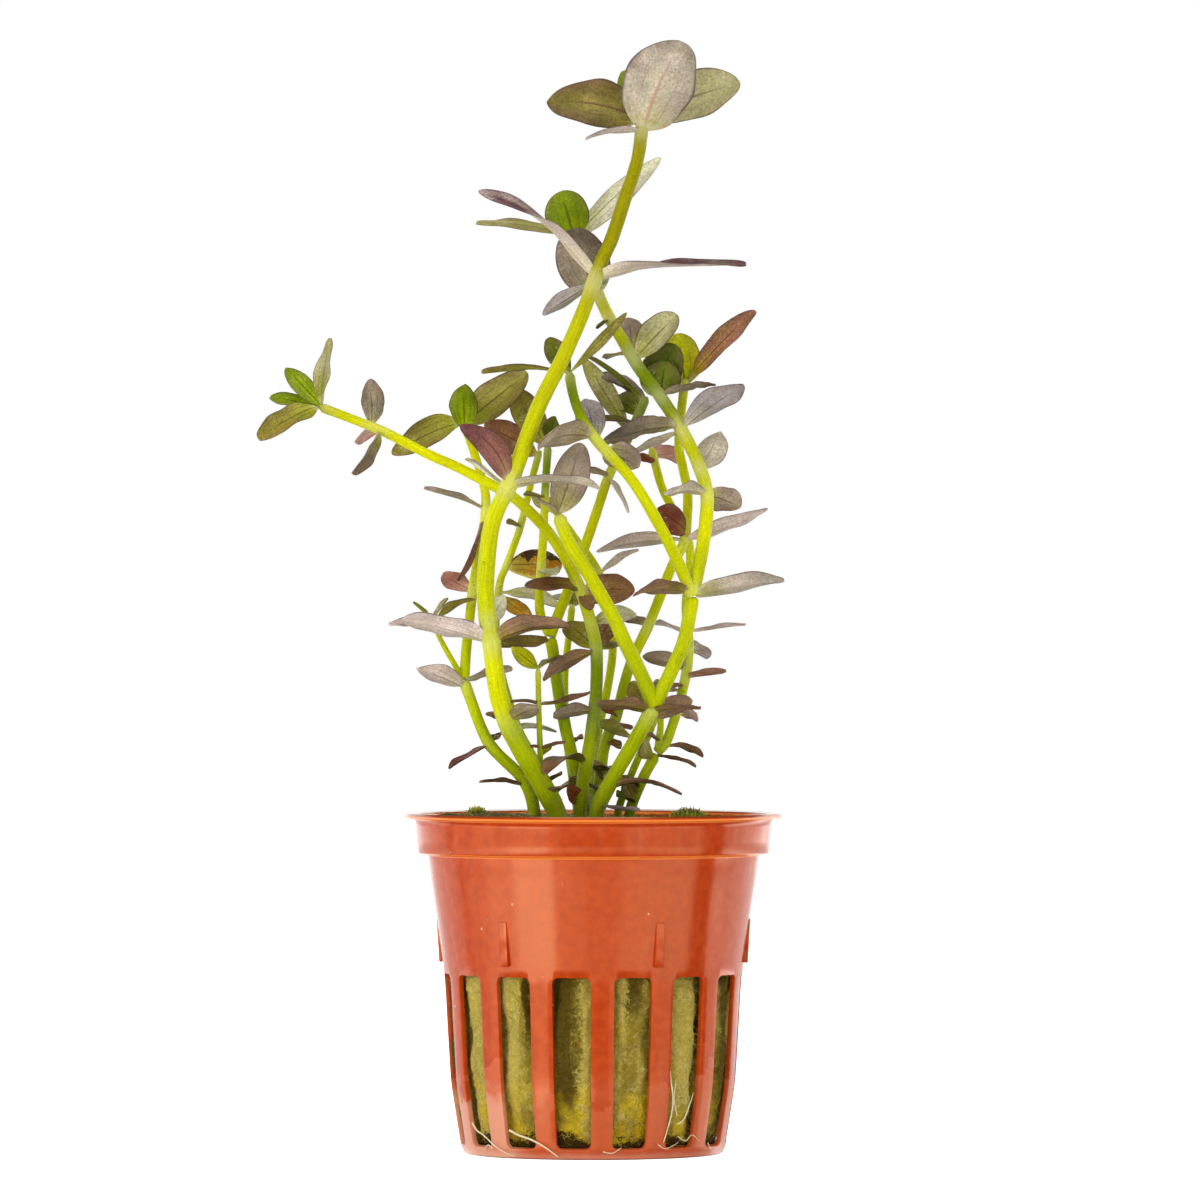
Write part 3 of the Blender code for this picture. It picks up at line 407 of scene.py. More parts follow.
# The plug is rockwool: a block of matted mineral fibre, wet and stained olive, that fills the
# pot and shows in its slots. Its body is a turned form whose side and ragged foot are pushed
# in and out by noise, and loose fibres are strewn over it.
WOOL_FOOT, WOOL_TOP = 0.8, 48.2
# Gap between the plug and the pot's wall
WOOL_CLEAR = 0.25
# How wide the plug is inside the collar, and from which height
WOOL_BRIM, BRIM_FROM = 24.2, 44.8
# How much its top falls towards the right, in millimetres a millimetre, and from which share
# of its radius and how steeply the top rounds off to the rim
WOOL_TILT, ROUND_FROM, ROUND_OFF = 0.035, 0.86, 4
# How far the felt swells out into each slot of the pot, and how high the rags at its foot are
BULGE, RAG = 0.65, 1.1
# Rows up the side of the plug, steps round it and rings on its top
WOOL_ROWS, WOOL_STEPS, TOP_RINGS = 90, 168, 16
FIBRE_COUNT, TOP_FIBRE_COUNT = 8000, 1500
FIBRE_LENGTH, FIBRE_RADIUS, FIBRE_BOW = 1.7, 0.024, 0.7
# Heights between which fibres lie on the side, and how far out they lie on the top
FIBRES_FROM, FIBRES_TO, TOP_FIBRES_OUT = WOOL_FOOT + 1.1, 41, 22.3
# Turn and half width, in degrees, of the dark wet streaks that run up the plug, and the height
# from which each starts; then the same for its paler, drier streaks
WET_STREAKS = (
    (-27, 2.4, 16), (-12, 5, 6), (16, 5, 20), (47, 2, 0), (66, 6, 0), (96, 4, 0), (118, 7, 0), (150, 4, 0),
    (-172, 7, 0), (-140, 4, 0), (-108, 6, 0), (-80, 4, 0),
)
DRY_STREAKS = (
    (-58, 6, 0), (-36, 3, 6), (-3, 2.4, 3), (12, 2, 17), (40, 6, 6), (84, 4, 0), (170, 5, 0), (-122, 4, 0),
)


def wool_radius(height):
    """The plug follows the inside of the pot's wall, and then of its collar."""
    return WOOL_BRIM if height > BRIM_FROM else wall_radius(max(height, 1)) - POT_WALL - WOOL_CLEAR


def top_fall(across, radius):
    """How far the plug's top has fallen at a place, by its tilt and its rounded rim."""
    return WOOL_TILT * across + ROUND_OFF * max(0, radius / WOOL_BRIM - ROUND_FROM)


def wool_surface(turn, height):
    """Where the matted side lies: it has a few wet hollows and swells into the slots."""
    at = around(turn, 20, height)
    streaked = Vector((at.x, at.y, height * 0.4))
    lump = noise.noise(streaked * 0.22) + 0.6 * noise.noise(streaked * 0.6)
    tuft = noise.noise(at * 1.3)
    radius = wool_radius(height) - 0.5 + min(0.5, 1.1 * lump + 0.3 * tuft)
    inside_slot = max(1 - (abs(slot_place(at)) / (SLOT_WIDTH * 0.45)) ** 4, 0) ** 0.5
    in_height = min(max((height - SLOT_FOOT - 0.3) / 2, 0), 1) * min(max((SLOT_HEAD - height) / 1.5, 0), 1)
    return min(radius, wool_radius(height)) + BULGE * inside_slot * in_height


def make_wool():
    """Turn the plain form of the plug, then mat its side, rag its foot and make its top uneven."""
    bm = bmesh.new()
    rows = list(np.linspace(WOOL_FOOT, 43, WOOL_ROWS)) + [44.2, 45.2, 46.2, 47.2, WOOL_TOP]
    profile = [(0, WOOL_FOOT), (wool_radius(WOOL_FOOT) * 0.9, WOOL_FOOT)]
    profile += [(wool_radius(height), height) for height in rows]
    profile += [(radius, WOOL_TOP) for radius in np.linspace(wool_radius(WOOL_TOP), 0, TOP_RINGS)[1:]]
    verts = [bm.verts.new(around(0, *pair)) for pair in profile]
    edges = [bm.edges.new(pair) for pair in zip(verts, verts[1:])]
    bmesh.ops.spin(bm, geom=verts + edges, axis=(0, 0, 1), cent=(0, 0, 0), steps=WOOL_STEPS,
                   angle=math.tau, use_merge=True)
    bmesh.ops.remove_doubles(bm, verts=bm.verts, dist=0.01)
    for vert in bm.verts:
        turn, radius, height = turn_of(vert.co), vert.co.xy.length, vert.co.z
        if height >= WOOL_TOP - 0.1:
            vert.co.z += 0.7 * noise.noise(vert.co * 0.22) + 0.3 * noise.noise(vert.co * 0.9)
            vert.co.z += 0.1 - top_fall(vert.co.x, radius)
        elif radius > wool_radius(height) * 0.95:
            at = around(turn, 12, 0)
            rag = RAG * (0.5 + noise.noise(at * 0.5) + 0.7 * noise.noise(at * 1.5))
            rag = max(rag, 0) * math.exp(-(height - WOOL_FOOT) / 2)
            vert.co = around(turn, wool_surface(turn, height), height + rag)
    return bm


def strew(name, one, places, finish, slot):
    """Join many copies of one small shape, each set in its own place, into one piece."""
    one.verts.ensure_lookup_table()
    shape = np.array([(*vert.co, 1) for vert in one.verts])
    faces = [[vert.index for vert in face.verts] for face in one.faces]
    one.free()
    frames = np.array([[list(row) for row in place] for place in places])
    points = np.einsum("nij,kj->nki", frames, shape)[:, :, :3].reshape(-1, 3)
    loops = [[i + len(shape) * copy for i in face] for copy in range(len(places)) for face in faces]
    mesh = bpy.data.meshes.new(name)
    mesh.from_pydata(points.tolist(), [], loops)
    many = bmesh.new()
    many.from_mesh(mesh)
    bpy.data.meshes.remove(mesh)
    return place_piece(name, many, [finish], slot)


def grow_ring(bm, edges):
    """Extrude a ring of edges, and give back the new ring's vertices and edges."""
    grown = bmesh.ops.extrude_edge_only(bm, edges=edges)["geom"]
    kinds = (bmesh.types.BMVert, bmesh.types.BMEdge)
    return [[item for item in grown if isinstance(item, kind)] for kind in kinds]


def strand(length, radius, bend, steps=2, sides=3, tip=0.35):
    """Draw one thin strand that rises from the origin along Z and bows towards X."""
    bm = bmesh.new()
    bmesh.ops.create_circle(bm, segments=sides, radius=radius, cap_ends=True)
    edges = list(bm.edges)
    for step in range(1, steps + 1):
        verts, edges = grow_ring(bm, edges)
        share = step / steps
        shrink = (1 - (1 - tip) * share) / (1 - (1 - tip) * (step - 1) / steps)
        middle = sum((vert.co for vert in verts), Vector()) / len(verts)
        for vert in verts:
            vert.co = middle + (vert.co - middle) * shrink
        shift = Vector((bend * (share ** 2 - ((step - 1) / steps) ** 2), 0, length / steps))
        bmesh.ops.translate(bm, vec=shift, verts=verts)
    bmesh.ops.contextual_create(bm, geom=edges)
    return bm


def lay_along(place, way, spin, size=1.0):
    """Set a shape drawn along Z at a place, pointing a given way."""
    turned = Vector(way).to_track_quat("Z", "X").to_matrix().to_4x4()
    return Matrix.Translation(place) @ turned @ Matrix.Rotation(spin, 4, "Z") @ Matrix.Scale(size, 4)


def side_fibres():
    """Fibres matted on the side of the plug, most of them level or steeply slanted."""
    draw = random.Random(11)
    places = []
    for _ in range(FIBRE_COUNT):
        turn, height = draw.uniform(0, math.tau), draw.uniform(FIBRES_FROM, FIBRES_TO)
        out = around(turn, 1, 0)
        level = Vector((-out.y, out.x, 0))
        slant = draw.gauss(0, 0.9)
        way = level * math.cos(slant) + Vector((0, 0, math.sin(slant))) + out * draw.uniform(-0.12, 0.16)
        size = draw.uniform(0.4, 1.1)
        start = out * (wool_surface(turn, height) + 0.02) + Vector((0, 0, height))
        places.append(lay_along(start, way, draw.uniform(0, math.tau), size))
    return places


def top_fibres():
    """Fibres that lie loose on the top of the plug, pointing anywhere."""
    draw = random.Random(12)
    places = []
    for _ in range(TOP_FIBRE_COUNT):
        turn, radius = draw.uniform(0, math.tau), TOP_FIBRES_OUT * math.sqrt(draw.random())
        start = around(turn, radius, WOOL_TOP + 0.15)
        start.z += 0.7 * noise.noise(Vector((start.x, start.y, WOOL_TOP)) * 0.22)
        start.z -= top_fall(start.x, radius)
        way = Vector((draw.gauss(0, 1), draw.gauss(0, 1), draw.uniform(-0.1, 0.45)))
        places.append(lay_along(start, way, draw.uniform(0, math.tau), draw.uniform(0.35, 0.9)))
    return places


def wool_streaks(finish):
    """Torn noise, and where the plug is wet, where it is dry and where its tufts are yellow."""
    across, deep, height = finish.split(finish.place)
    turn = finish.node("Math", {"operation": "ARCTAN2"}, {0: across, 1: deep * -1})
    upright = finish.drawn_out(0.3)
    bands = finish.clouds(0.2, 4, upright)
    torn = finish.clouds(1.1, 6, rough=0.75, swirl=1.5) - 0.5
    wander = (finish.clouds(0.25, 3, upright) - 0.5) * 0.16 + torn * 0.22
    wet = finish.ease(bands + torn * 0.1, 0.38, 0.3)
    dry = finish.ease(bands + torn * 0.3, 0.54, 0.7)
    low_down = finish.ease_mm(height + bands * (14 * MM), 22, 12)
    sun = finish.ease(finish.clouds(0.22, 3) + torn * 0.4, 0.42, 0.6) * (0.15 + low_down * 0.85)
    for streaks, is_wet in ((WET_STREAKS, True), (DRY_STREAKS, False)):
        for middle, half, low in streaks:
            away = abs(turn + wander - math.radians(middle))
            there = finish.ease(away, math.radians(half * 1.5), math.radians(half * 0.5))
            there = there * finish.ease_mm(height + torn * (8 * MM), low - 2, low + 4)
            wet, dry = (wet + there, dry) if is_wet else (wet - there * 0.8, dry + there * 0.8)
    wet = wet * finish.ease_mm(height, 47, 44) * (1 - sun * low_down * 0.6)
    return torn, wet, dry, sun


def wool_finish():
    """Matted fibre: yellow tufts and olive felt between dark wet streaks, and painted shade at its foot."""
    wool = Finish("matted rockwool", Roughness=0.95, Specular_IOR_Level=0.1)
    torn, wet, dry, sun = wool_streaks(wool)
    fuzz = wool.clouds(1.7, 6, rough=0.72, swirl=1.2)
    wisps = wool.ease(wool.clouds(0.5, 6, rough=0.68, swirl=0.8), 0.5, 0.64)
    shade = wool.blend((0.34, 0.25, 0.03), (0.63, 0.51, 0.11), dry)
    shade = wool.blend(shade, (0.66, 0.56, 0.15), wisps * 0.6)
    shade = wool.blend(shade, (0.72, 0.51, 0.01), sun * 0.75)
    shade = wool.blend(shade, (0.085, 0.052, 0.003), wet * 0.9)
    shade = wool.blend(shade, fuzz * 2.1 - 0.02, 0.95, "MULTIPLY")
    *_, height = wool.split(wool.place)
    # Painted shade: near black at the plug's foot, where it meets the pot's floor
    low = height + torn * (6 * MM) + (wool.clouds(0.13, 2) - 0.5) * (10 * MM)
    shade = wool.blend(shade, (0.035, 0.014, 0.004), wool.ease_mm(low, 3.6, 2.7) * 0.95)
    top = wool.blend((0.05, 0.04, 0.018), (0.24, 0.19, 0.09), wool.ease(fuzz, 0.36, 0.66))
    top = wool.blend(top, (0.11, 0.12, 0.015), wool.ease(wool.clouds(0.18, 4), 0.52, 0.62) * 0.8)
    shade = wool.blend(shade, top, wool.ease_mm(height, 45.5, 47))
    wool.drive("Base Color", shade)
    wool.relief(fuzz + wool.clouds(0.8, 3) * 1.5, 0.6)
    return wool


def fibre_finish():
    """Glassy fibre, pale yellow in the tufts and stained dark in the wet streaks."""
    fibre = Finish("loose fibre", Roughness=0.7, Specular_IOR_Level=0.2)
    _, wet, dry, sun = wool_streaks(fibre)
    straw = fibre.blend((0.40, 0.31, 0.06), (0.64, 0.54, 0.20), fibre.ease(fibre.clouds(0.9, 3), 0.4, 0.62))
    straw = fibre.blend(straw, (0.66, 0.56, 0.22), dry * 0.7)
    straw = fibre.blend(straw, (0.80, 0.64, 0.06), sun * 0.8)
    fibre.drive("Base Color", fibre.blend(straw, (0.15, 0.10, 0.01), wet * 0.85))
    return fibre


place_piece("rockwool_body", make_wool(), [wool_finish()], "rockwool", ["rockwool_plug"], sharp=180)
fibre = fibre_finish()
for name, places in (("rockwool_fibres", side_fibres()), ("rockwool_top_fibres", top_fibres())):
    strew(name, strand(FIBRE_LENGTH, FIBRE_RADIUS, FIBRE_BOW), places, fibre, "rockwool")

# Moss grows on the wet top of the plug in two soft green tufts. Each is a heap of tiny tapered
# blades, strewn round its middle so that they point outward and up.
BLADE_LENGTH, BLADE_HALF, BLADE_TIP, BLADE_FLAT, BLADE_RISE = 0.75, 0.14, 0.02, 0.3, 0.37
# Piece, node, middle, half sizes and number of blades
MOSS_TUFTS = (
    ("moss_left_tuft", "moss_left", (-17, 4, 48.8), (1.4, 1.6, 1.1), 330),
    ("moss_right_tuft", "moss_right", (13.8, 2, 48.0), (2.9, 2.4, 1.8), 1000),
)


def moss_shoots(middle, half, count, seed):
    draw = random.Random(seed)
    places = []
    for _ in range(count):
        out = Vector((draw.gauss(0, 1), draw.gauss(0, 1), abs(draw.gauss(0, 1)) + 0.15)).normalized()
        reach = draw.uniform(0.35, 1)
        start = Vector(middle) + Vector([o * h * reach for o, h in zip(out, half)])
        way = out + Vector((draw.gauss(0, 0.5), draw.gauss(0, 0.5), draw.uniform(0, 0.8)))
        places.append(lay_along(start, way, draw.uniform(0, math.tau), draw.uniform(0.5, 1.1)))
    return places


def moss_blade():
    bm = bmesh.new()
    bmesh.ops.create_cone(
        bm, segments=4, radius1=BLADE_HALF, radius2=BLADE_TIP, depth=BLADE_LENGTH, cap_ends=True)
    bmesh.ops.scale(bm, vec=(1, BLADE_FLAT, 1), verts=bm.verts)
    bmesh.ops.translate(bm, vec=(0, 0, BLADE_RISE), verts=bm.verts)
    return bm


moss = Finish("moss", Roughness=0.6, Subsurface_Weight=0.3, Subsurface_Scale=0.001)
moss.drive("Base Color", moss.blend(
    (0.08, 0.12, 0.01), (0.46, 0.46, 0.02), moss.ease(moss.clouds(0.4, 4), 0.4, 0.58)))
for seed, (name, node, middle, half, count) in enumerate(MOSS_TUFTS):
    tuft = strew(name, moss_blade(), moss_shoots(middle, half, count, seed), moss, "moss")
    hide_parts(node)

# White roots creep out of the slots near the foot of the pot and cling to its wall. Each is a
# thin limp strand with a few side roots, kept close to the wall and above the ground.
ROOT_STEP, ROOT_SIDES = 0.35, 8
ROOT_TAPER, ROOT_TIP = 0.45, 0.15
# Radius, and points on the way as turn from the front in degrees, distance out and height
ROOT_ROUTES = (
    ("root_left_strand", "root_left", 0.13, (
        (-61, 19.9, 4.9), (-57, 20.0, 3.9), (-52, 19.9, 3.2), (-46, 19.8, 1.9), (-40, 19.6, 0.9),
        (-35, 19.5, 0.5))),
    ("root_front_strand", "root_front", 0.18, (
        (-37, 20.0, 4.2), (-32, 20.0, 3.5), (-27, 19.9, 3.0), (-21, 19.8, 2.0), (-15, 19.3, 0.5))),
    ("root_right_strand", "root_right", 0.13, (
        (32, 20.6, 13), (33, 20.5, 10.8), (34, 20.4, 8.6), (33.5, 20.2, 6.4), (32, 19.9, 4.2),
        (30.5, 19.7, 2.4))),
)
SIDE_ROOTS = (
    (0.1, ((37, 20.0, 5.0), (40, 20.2, 5.8), (42, 20.5, 7.6), (44, 20.7, 9.6))),
    (0.08, ((36.5, 20.1, 6.3), (34.5, 20.4, 8.8), (35, 20.7, 11.5))),
    (0.08, ((38, 19.6, 3.3), (42, 19.7, 2.6), (46, 19.7, 3.4), (51, 19.7, 2.4))),
    (0.09, ((-47, 19.9, 1.5), (-50, 19.8, 1.9), (-54, 19.6, 1.0))),
    (0.09, ((4, 19.4, 1.3), (8, 19.5, 1.1), (12, 19.6, 1.9))),
    (0.07, ((28, 19.7, 2.2), (31, 19.8, 1.6), (35, 19.6, 1.9), (39, 19.5, 2.5))),
    (0.07, ((57, 19.6, 2.1), (60, 19.5, 1.2), (64, 19.4, 0.8))),
    (0.07, ((150, 19.8, 3.4), (155, 19.8, 2.2), (161, 19.5, 1.0))),
    (0.08, ((-140, 19.9, 5.2), (-145, 19.9, 3.4), (-150, 19.6, 1.9))),
)


def note_of(bm, name):
    """The attribute of a mesh that goes by a name, made where it's still missing."""
    return bm.verts.layers.float_vector.get(name) or bm.verts.layers.float_vector.new(name)


def draw_tube(bm, route, radii, sides, keep=None):
    """Draw a round closed strand along a route by extruding one ring after another.

    keep names an attribute that notes each point's turn about the middle and its way along.
    """
    layer = note_of(bm, keep) if keep else None
    ring = bmesh.ops.create_circle(bm, segments=sides, radius=1, cap_ends=True)["verts"]
    if layer:
        for vert in ring:
            vert[layer] = (vert.co.x, vert.co.y, 0)
    edges = list(ring[0].link_edges[0].link_faces[0].edges)
    befores, afters = [route[0]] + route, route[1:] + [route[-1]]
    tangents = [(after - before).normalized() for before, after in zip(befores, afters)]
    turned = Vector((0, 0, 1)).rotation_difference(tangents[0])
    last = Matrix.Identity(4)
    length = 0
    for index, (point, tangent, radius) in enumerate(zip(route, tangents, radii)):
        if index:
            turned = tangents[index - 1].rotation_difference(tangent) @ turned
            length += (point - route[index - 1]).length
            ring, edges = grow_ring(bm, edges)
        frame_here = Matrix.Translation(point) @ turned.to_matrix().to_4x4() @ Matrix.Scale(radius, 4)
        bmesh.ops.transform(bm, matrix=frame_here @ last.inverted(), verts=ring)
        last = frame_here
        if layer:
            for vert in ring:
                vert[layer] = (vert[layer][0], vert[layer][1], length)
    bmesh.ops.contextual_create(bm, geom=edges)


def root_tube(bm, radius, spots):
    """Draw one root, lumpy and thinner towards its tip."""
    route = smooth_route([around(math.radians(turn), out, height) for turn, out, height in spots], ROOT_STEP)
    last = len(route) - 1
    radii = [
        radius * (1 - ROOT_TAPER * index / last) * (1 + 0.18 * noise.noise(point * 1.4))
        for index, point in enumerate(route)]
    radii[-1] = radius * ROOT_TIP
    draw_tube(bm, route, radii, ROOT_SIDES)


root_skin = Finish("white root", Roughness=0.35, Subsurface_Weight=0.5, Subsurface_Scale=0.001)
root_skin.drive("Base Color", root_skin.blend(
    (0.80, 0.65, 0.42), (0.60, 0.38, 0.18), root_skin.ease(root_skin.clouds(0.5, 3), 0.5, 0.75) * 0.6))
root_skin.relief(root_skin.clouds(2, 3), 0.05)
for name, node, radius, spots in ROOT_ROUTES:
    root = bmesh.new()
    root_tube(root, radius, spots)
    place_piece(name, root, [root_skin], "root", [node])
side_roots = bmesh.new()
for radius, spots in SIDE_ROOTS:
    root_tube(side_roots, radius, spots)
place_piece("side_roots", side_roots, [root_skin], "root")

# Twelve soft stems leave the plug and fork at their nodes. A stem is round, yellow-green and
# tender, a little swollen and paler at each node, where a pair of leaves sits. Each is
# a ring extruded along a smooth curve, and its foot or fork is sunk in what carries it.
# Radius at the foot, radius at the tip, and points along the middle
STEMS = {
    "stem_main": (1.45, 0.92, (
        (-5.4, -6, 49.6), (-8, -6.6, 54.5), (-11.3, -7.5, 60.2), (-13.6, -8.8, 66.2),
        (-14.7, -10.4, 74.4), (-15.5, -11.5, 80.2), (-15.3, -12.4, 85.9), (-14.4, -13, 91.7),
        (-12.4, -13.3, 96.1), (-10.7, -13.5, 100.3), (-7.8, -13.6, 108.1), (-4.5, -13.6, 114.7),
        (-1.6, -13.6, 121.3), (-0.1, -13.5, 125.4), (1.1, -13.3, 128.7), (2.7, -13, 132.3),
        (4.5, -12.8, 137.8), (6.3, -12.5, 143.4), (7.1, -12.2, 149.1),
    )),
    "stem_right_base": (1.1, 1.05, (
        (0.5, -3, 49.7), (2.5, -4, 53.9), (6.1, -5.6, 60.1), (8.7, -6.8, 64.8),
    )),
    "stem_right_middle": (1.03, 1.0, (
        (9.3, -7.1, 66.1), (11.3, -7.4, 70.1), (13.1, -7.4, 74.4), (14.1, -7.1, 79.5),
        (14.2, -7.1, 80.6),
    )),
    "stem_right_upper": (1.0, 0.85, (
        (14.5, -7, 81.9), (15.4, -6.5, 86), (16.1, -5.5, 90.3), (16.4, -4.3, 95.4), (15.2, -3.2, 99.7),
        (12.6, -1.7, 105.1), (9.2, -2.6, 110.3), (6.7, -3.5, 113.6), (4.7, -4.4, 116.9), (2.3, -5.8, 120.9),
        (0.9, -6.7, 123.8), (-1.2, -6.7, 129), (-3.5, -6.1, 133),
    )),
    "branch_centre": (1.1, 0.95, (
        (8.9, -7, 65.3), (6.9, -7.6, 69.4), (4.4, -7.8, 74.4), (3.1, -7.8, 77.3), (0.4, -7.6, 82.1),
        (-1.4, -7.6, 85.1), (-3.5, -7.8, 88.4), (-5.1, -8.4, 92.5),
    )),
    "stem_left_reach": (1.0, 0.65, (
        (-2, -1, 49.8), (-1.5, -1.2, 54.1), (-0.8, -1.5, 57.7), (-0.1, -1.6, 62.1), (0.4, -1.8, 67.2),
        (0.4, -1.8, 73), (-0.5, -1.6, 77.3), (-2, -1.7, 81.9), (-4.1, -2.3, 86.3), (-7, -3.8, 90.6),
        (-11, -5.8, 94.6), (-13.6, -6.7, 96.2), (-19.3, -7.2, 99.2), (-23.6, -7.8, 101.1),
        (-27.9, -8.4, 103.3), (-30.8, -8.7, 104.7), (-35.1, -9.3, 106.4), (-39.4, -9.9, 108),
    )),
    "branch_inner": (0.9, 0.7, (
        (14.2, -7.3, 81.4), (12.3, -8.6, 85.4), (9.7, -9.9, 90.6), (5.5, -10.7, 97.5),
        (0.5, -11, 103.1), (-1.7, -10.4, 106.4), (-2.9, -9.6, 109.7), (-3.5, -9, 113),
    )),
    "stem_left_base": (0.95, 0.78, (
        (-8.6, -3.2, 49.8), (-10.1, -3.6, 54.2), (-15.1, -4.3, 59.5), (-18, -4.2, 66.5),
        (-18.7, -4.1, 68.5),
    )),
    "stem_left_upper": (0.75, 0.6, (
        (-18.6, -3.9, 69.8), (-18.4, -3.8, 73), (-17.9, -3.5, 77.6), (-17.4, -3.4, 82.1),
        (-16.3, -3, 88.7), (-15.6, -2.6, 93.4), (-15.9, -2.2, 96.8), (-17.9, -1.7, 103.4),
        (-18.9, -1.4, 105.7),
    )),
    "twig_left": (0.42, 0.35, (
        (-18.9, -4.1, 68.9), (-22, -4.7, 74.3), (-23.3, -4.8, 77.6),
    )),
    "stem_centre_base": (0.92, 0.88, (
        (-1.2, 2, 49.6), (-3.3, 1.3, 58.4), (-4.1, 1, 61.8), (-5.2, 0.6, 67.7), (-5.9, 0.5, 72.9),
        (-6.3, 0.5, 74.7),
    )),
    "stem_centre_upper": (0.7, 0.55, (
        (-6.6, 0.7, 75.8), (-7.8, 1.4, 78.7), (-7.6, 2, 85.1), (-7.3, 2.2, 89.3), (-6.9, 2, 97.9),
        (-6.6, 1.7, 102.7),
    )),
    "branch_back": (0.8, 0.65, (
        (-6.2, 0.7, 75.3), (-5.3, 1.3, 77.6), (-3.6, 2.2, 81.8), (-1.4, 3.2, 87.6), (0.6, 3.3, 93.4),
        (2.2, 2.9, 98.2), (4.4, 2.6, 102.4), (7, 1.7, 108.1), (7.6, 1.4, 109.7),
    )),
    "stem_back_left": (0.65, 0.5, (
        (-4.6, 5, 49.5), (-8.5, 5.6, 56.9), (-11.4, 6, 62.7), (-14.1, 6.4, 72.9), (-13.8, 6.7, 81.8),
        (-12.6, 6.6, 85.4), (-11, 6.7, 89.8), (-10.1, 6.7, 93), (-9, 6.7, 97.7), (-7.8, 6.4, 102),
    )),
    "stem_edge_base": (0.8, 0.75, (
        (5.3, 3, 49.5), (7.2, 3.5, 54.3), (9.1, 4, 57.8),
    )),
    "stem_edge_upper": (0.75, 0.6, (
        (9.4, 4.1, 58.5), (10.8, 4.5, 60.1), (12.9, 5.9, 66.8), (13.9, 6.9, 72.9), (13.5, 7.7, 79.3),
        (14.1, 8, 86), (13.5, 8.1, 89.7), (11.1, 8.1, 94.3), (9.8, 8.1, 97.1), (8.4, 7.8, 102.4),
    )),
    "twig_edge": (0.5, 0.45, (
        (9.4, 3.8, 59), (9.7, 3.3, 61.3), (9.8, 2.9, 63.9), (10.5, 2.6, 67.1),
    )),
    "stem_back_right": (0.85, 0.65, (
        (0.5, 4.5, 49.5), (1.5, 4.6, 58.4), (3.3, 4.5, 63.3), (5.3, 4.5, 70.7), (8.2, 4.3, 77),
        (11.3, 3.7, 84.9), (13.2, 3.5, 88.9), (13.7, 3.2, 95.3), (13.1, 3.2, 98.9), (12.4, 3.5, 102.6),
        (12.7, 3.8, 107.1), (13.3, 4.1, 112.3),
    )),
    "stem_back_centre": (0.7, 0.5, (
        (-0.2, 8, 49.4), (0.5, 9, 59.8), (2, 10.1, 67.1), (2.8, 11, 72.9), (2.4, 11.7, 78.7),
        (0.6, 12, 84.6), (-2.7, 11.6, 89.3), (-5.5, 10.7, 93.1), (-7.2, 10.2, 93.6),
    )),
    "stem_back_short": (0.6, 0.5, (
        (-2.4, 8, 49.4), (-3.9, 8.1, 59.8), (-4.2, 8.6, 68.5), (-3.7, 9.1, 74.2), (-3.1, 9.3, 79.5),
    )),
    "stem_slim": (0.42, 0.4, (
        (-6.4, -2, 49.6), (-7.6, -3.3, 55.6), (-7.7, -4.4, 58.5), (-7.9, -5.7, 64.5), (-8, -6.4, 70.4),
    )),
    "stem_back_low": (0.6, 0.5, (
        (3.6, 7, 49.5), (5.6, 7.5, 55), (8.5, 8.5, 61.7), (10.3, 9.4, 66.8),
    )),
}
# What carries each shoot
CARRIERS = {
    "stem_right_middle": "stem_right_base", "stem_right_upper": "stem_right_middle",
    "branch_centre": "stem_right_base", "branch_inner": "stem_right_middle",
    "stem_left_upper": "stem_left_base", "twig_left": "stem_left_base",
    "stem_centre_upper": "stem_centre_base", "branch_back": "stem_centre_base",
    "stem_edge_upper": "stem_edge_base", "twig_edge": "stem_edge_base",
}
STEM_STEP = 0.7
SWELLING, SWELLING_REACH, STEM_TIP = 0.05, 1.3, 0.55
# How deep a stem is rooted in the plug, and how far a shoot's foot moves to the end of its carrier
ROOTED_DEPTH, FOOT_MOVES = 3.5, 0.6


def stem_route(name):
    """The stem's smooth middle line, run on into its carrier or into the rockwool."""
    points = [Vector(point) for point in STEMS[name][2]]
    if name in CARRIERS:
        points[0] = Vector(STEMS[CARRIERS[name]][2][-1]) * FOOT_MOVES + points[0] * (1 - FOOT_MOVES)
    else:
        points.insert(0, points[0] - Vector((0, 0, ROOTED_DEPTH)))
    return smooth_route(points, STEM_STEP)


routes = {name: stem_route(name) for name in STEMS}
# Where leaves sit on each stem, as indices on its route, filled as the leaves are shaped below
node_places = {name: [] for name in STEMS}


def nearest_on_stem(point, only=None):
    """The stem, and the index on its route, whose middle line lies nearest to a point."""
    names = [only] if only else list(routes)
    return min(((point - spot).length, name, i) for name in names for i, spot in enumerate(routes[name]))[1:]


def node_spots(name):
    return [routes[name][index] for index in set(node_places[name])]


def stem_radii(name):
    """Taper from foot to tip, with a swelling at each node and a rounded tip."""
    foot, tip, _ = STEMS[name]
    last = len(routes[name]) - 1
    spots = node_spots(name)
    radii = []
    for index, point in enumerate(routes[name]):
        swell = sum(math.exp(-((point - spot).length / SWELLING_REACH) ** 2) for spot in spots)
        radius = (foot + (tip - foot) * index / last) * (1 + SWELLING * min(swell, 1.3))
        radii.append(radius * (1 + 0.04 * noise.noise(point * 0.5)))
    radii[-1] *= STEM_TIP
    return radii


# Where a shoot is a darker green than its height gives, partly painted shade: middle and reach
SHADED_GREEN_PARTS = (
    ((8.2, -3, 112.3), 7.5), ((-2.4, -9, 109), 5), ((6.7, 2, 107.8), 6), ((-6.7, 2, 100), 5),
    ((0.4, -2, 67), 8),
)
# Where it stands in the full light and is a brighter yellow
BRIGHT_PARTS = (((-27, -8, 103), 14), ((-14.7, -10, 68), 6), ((13.5, -6, 92), 5))


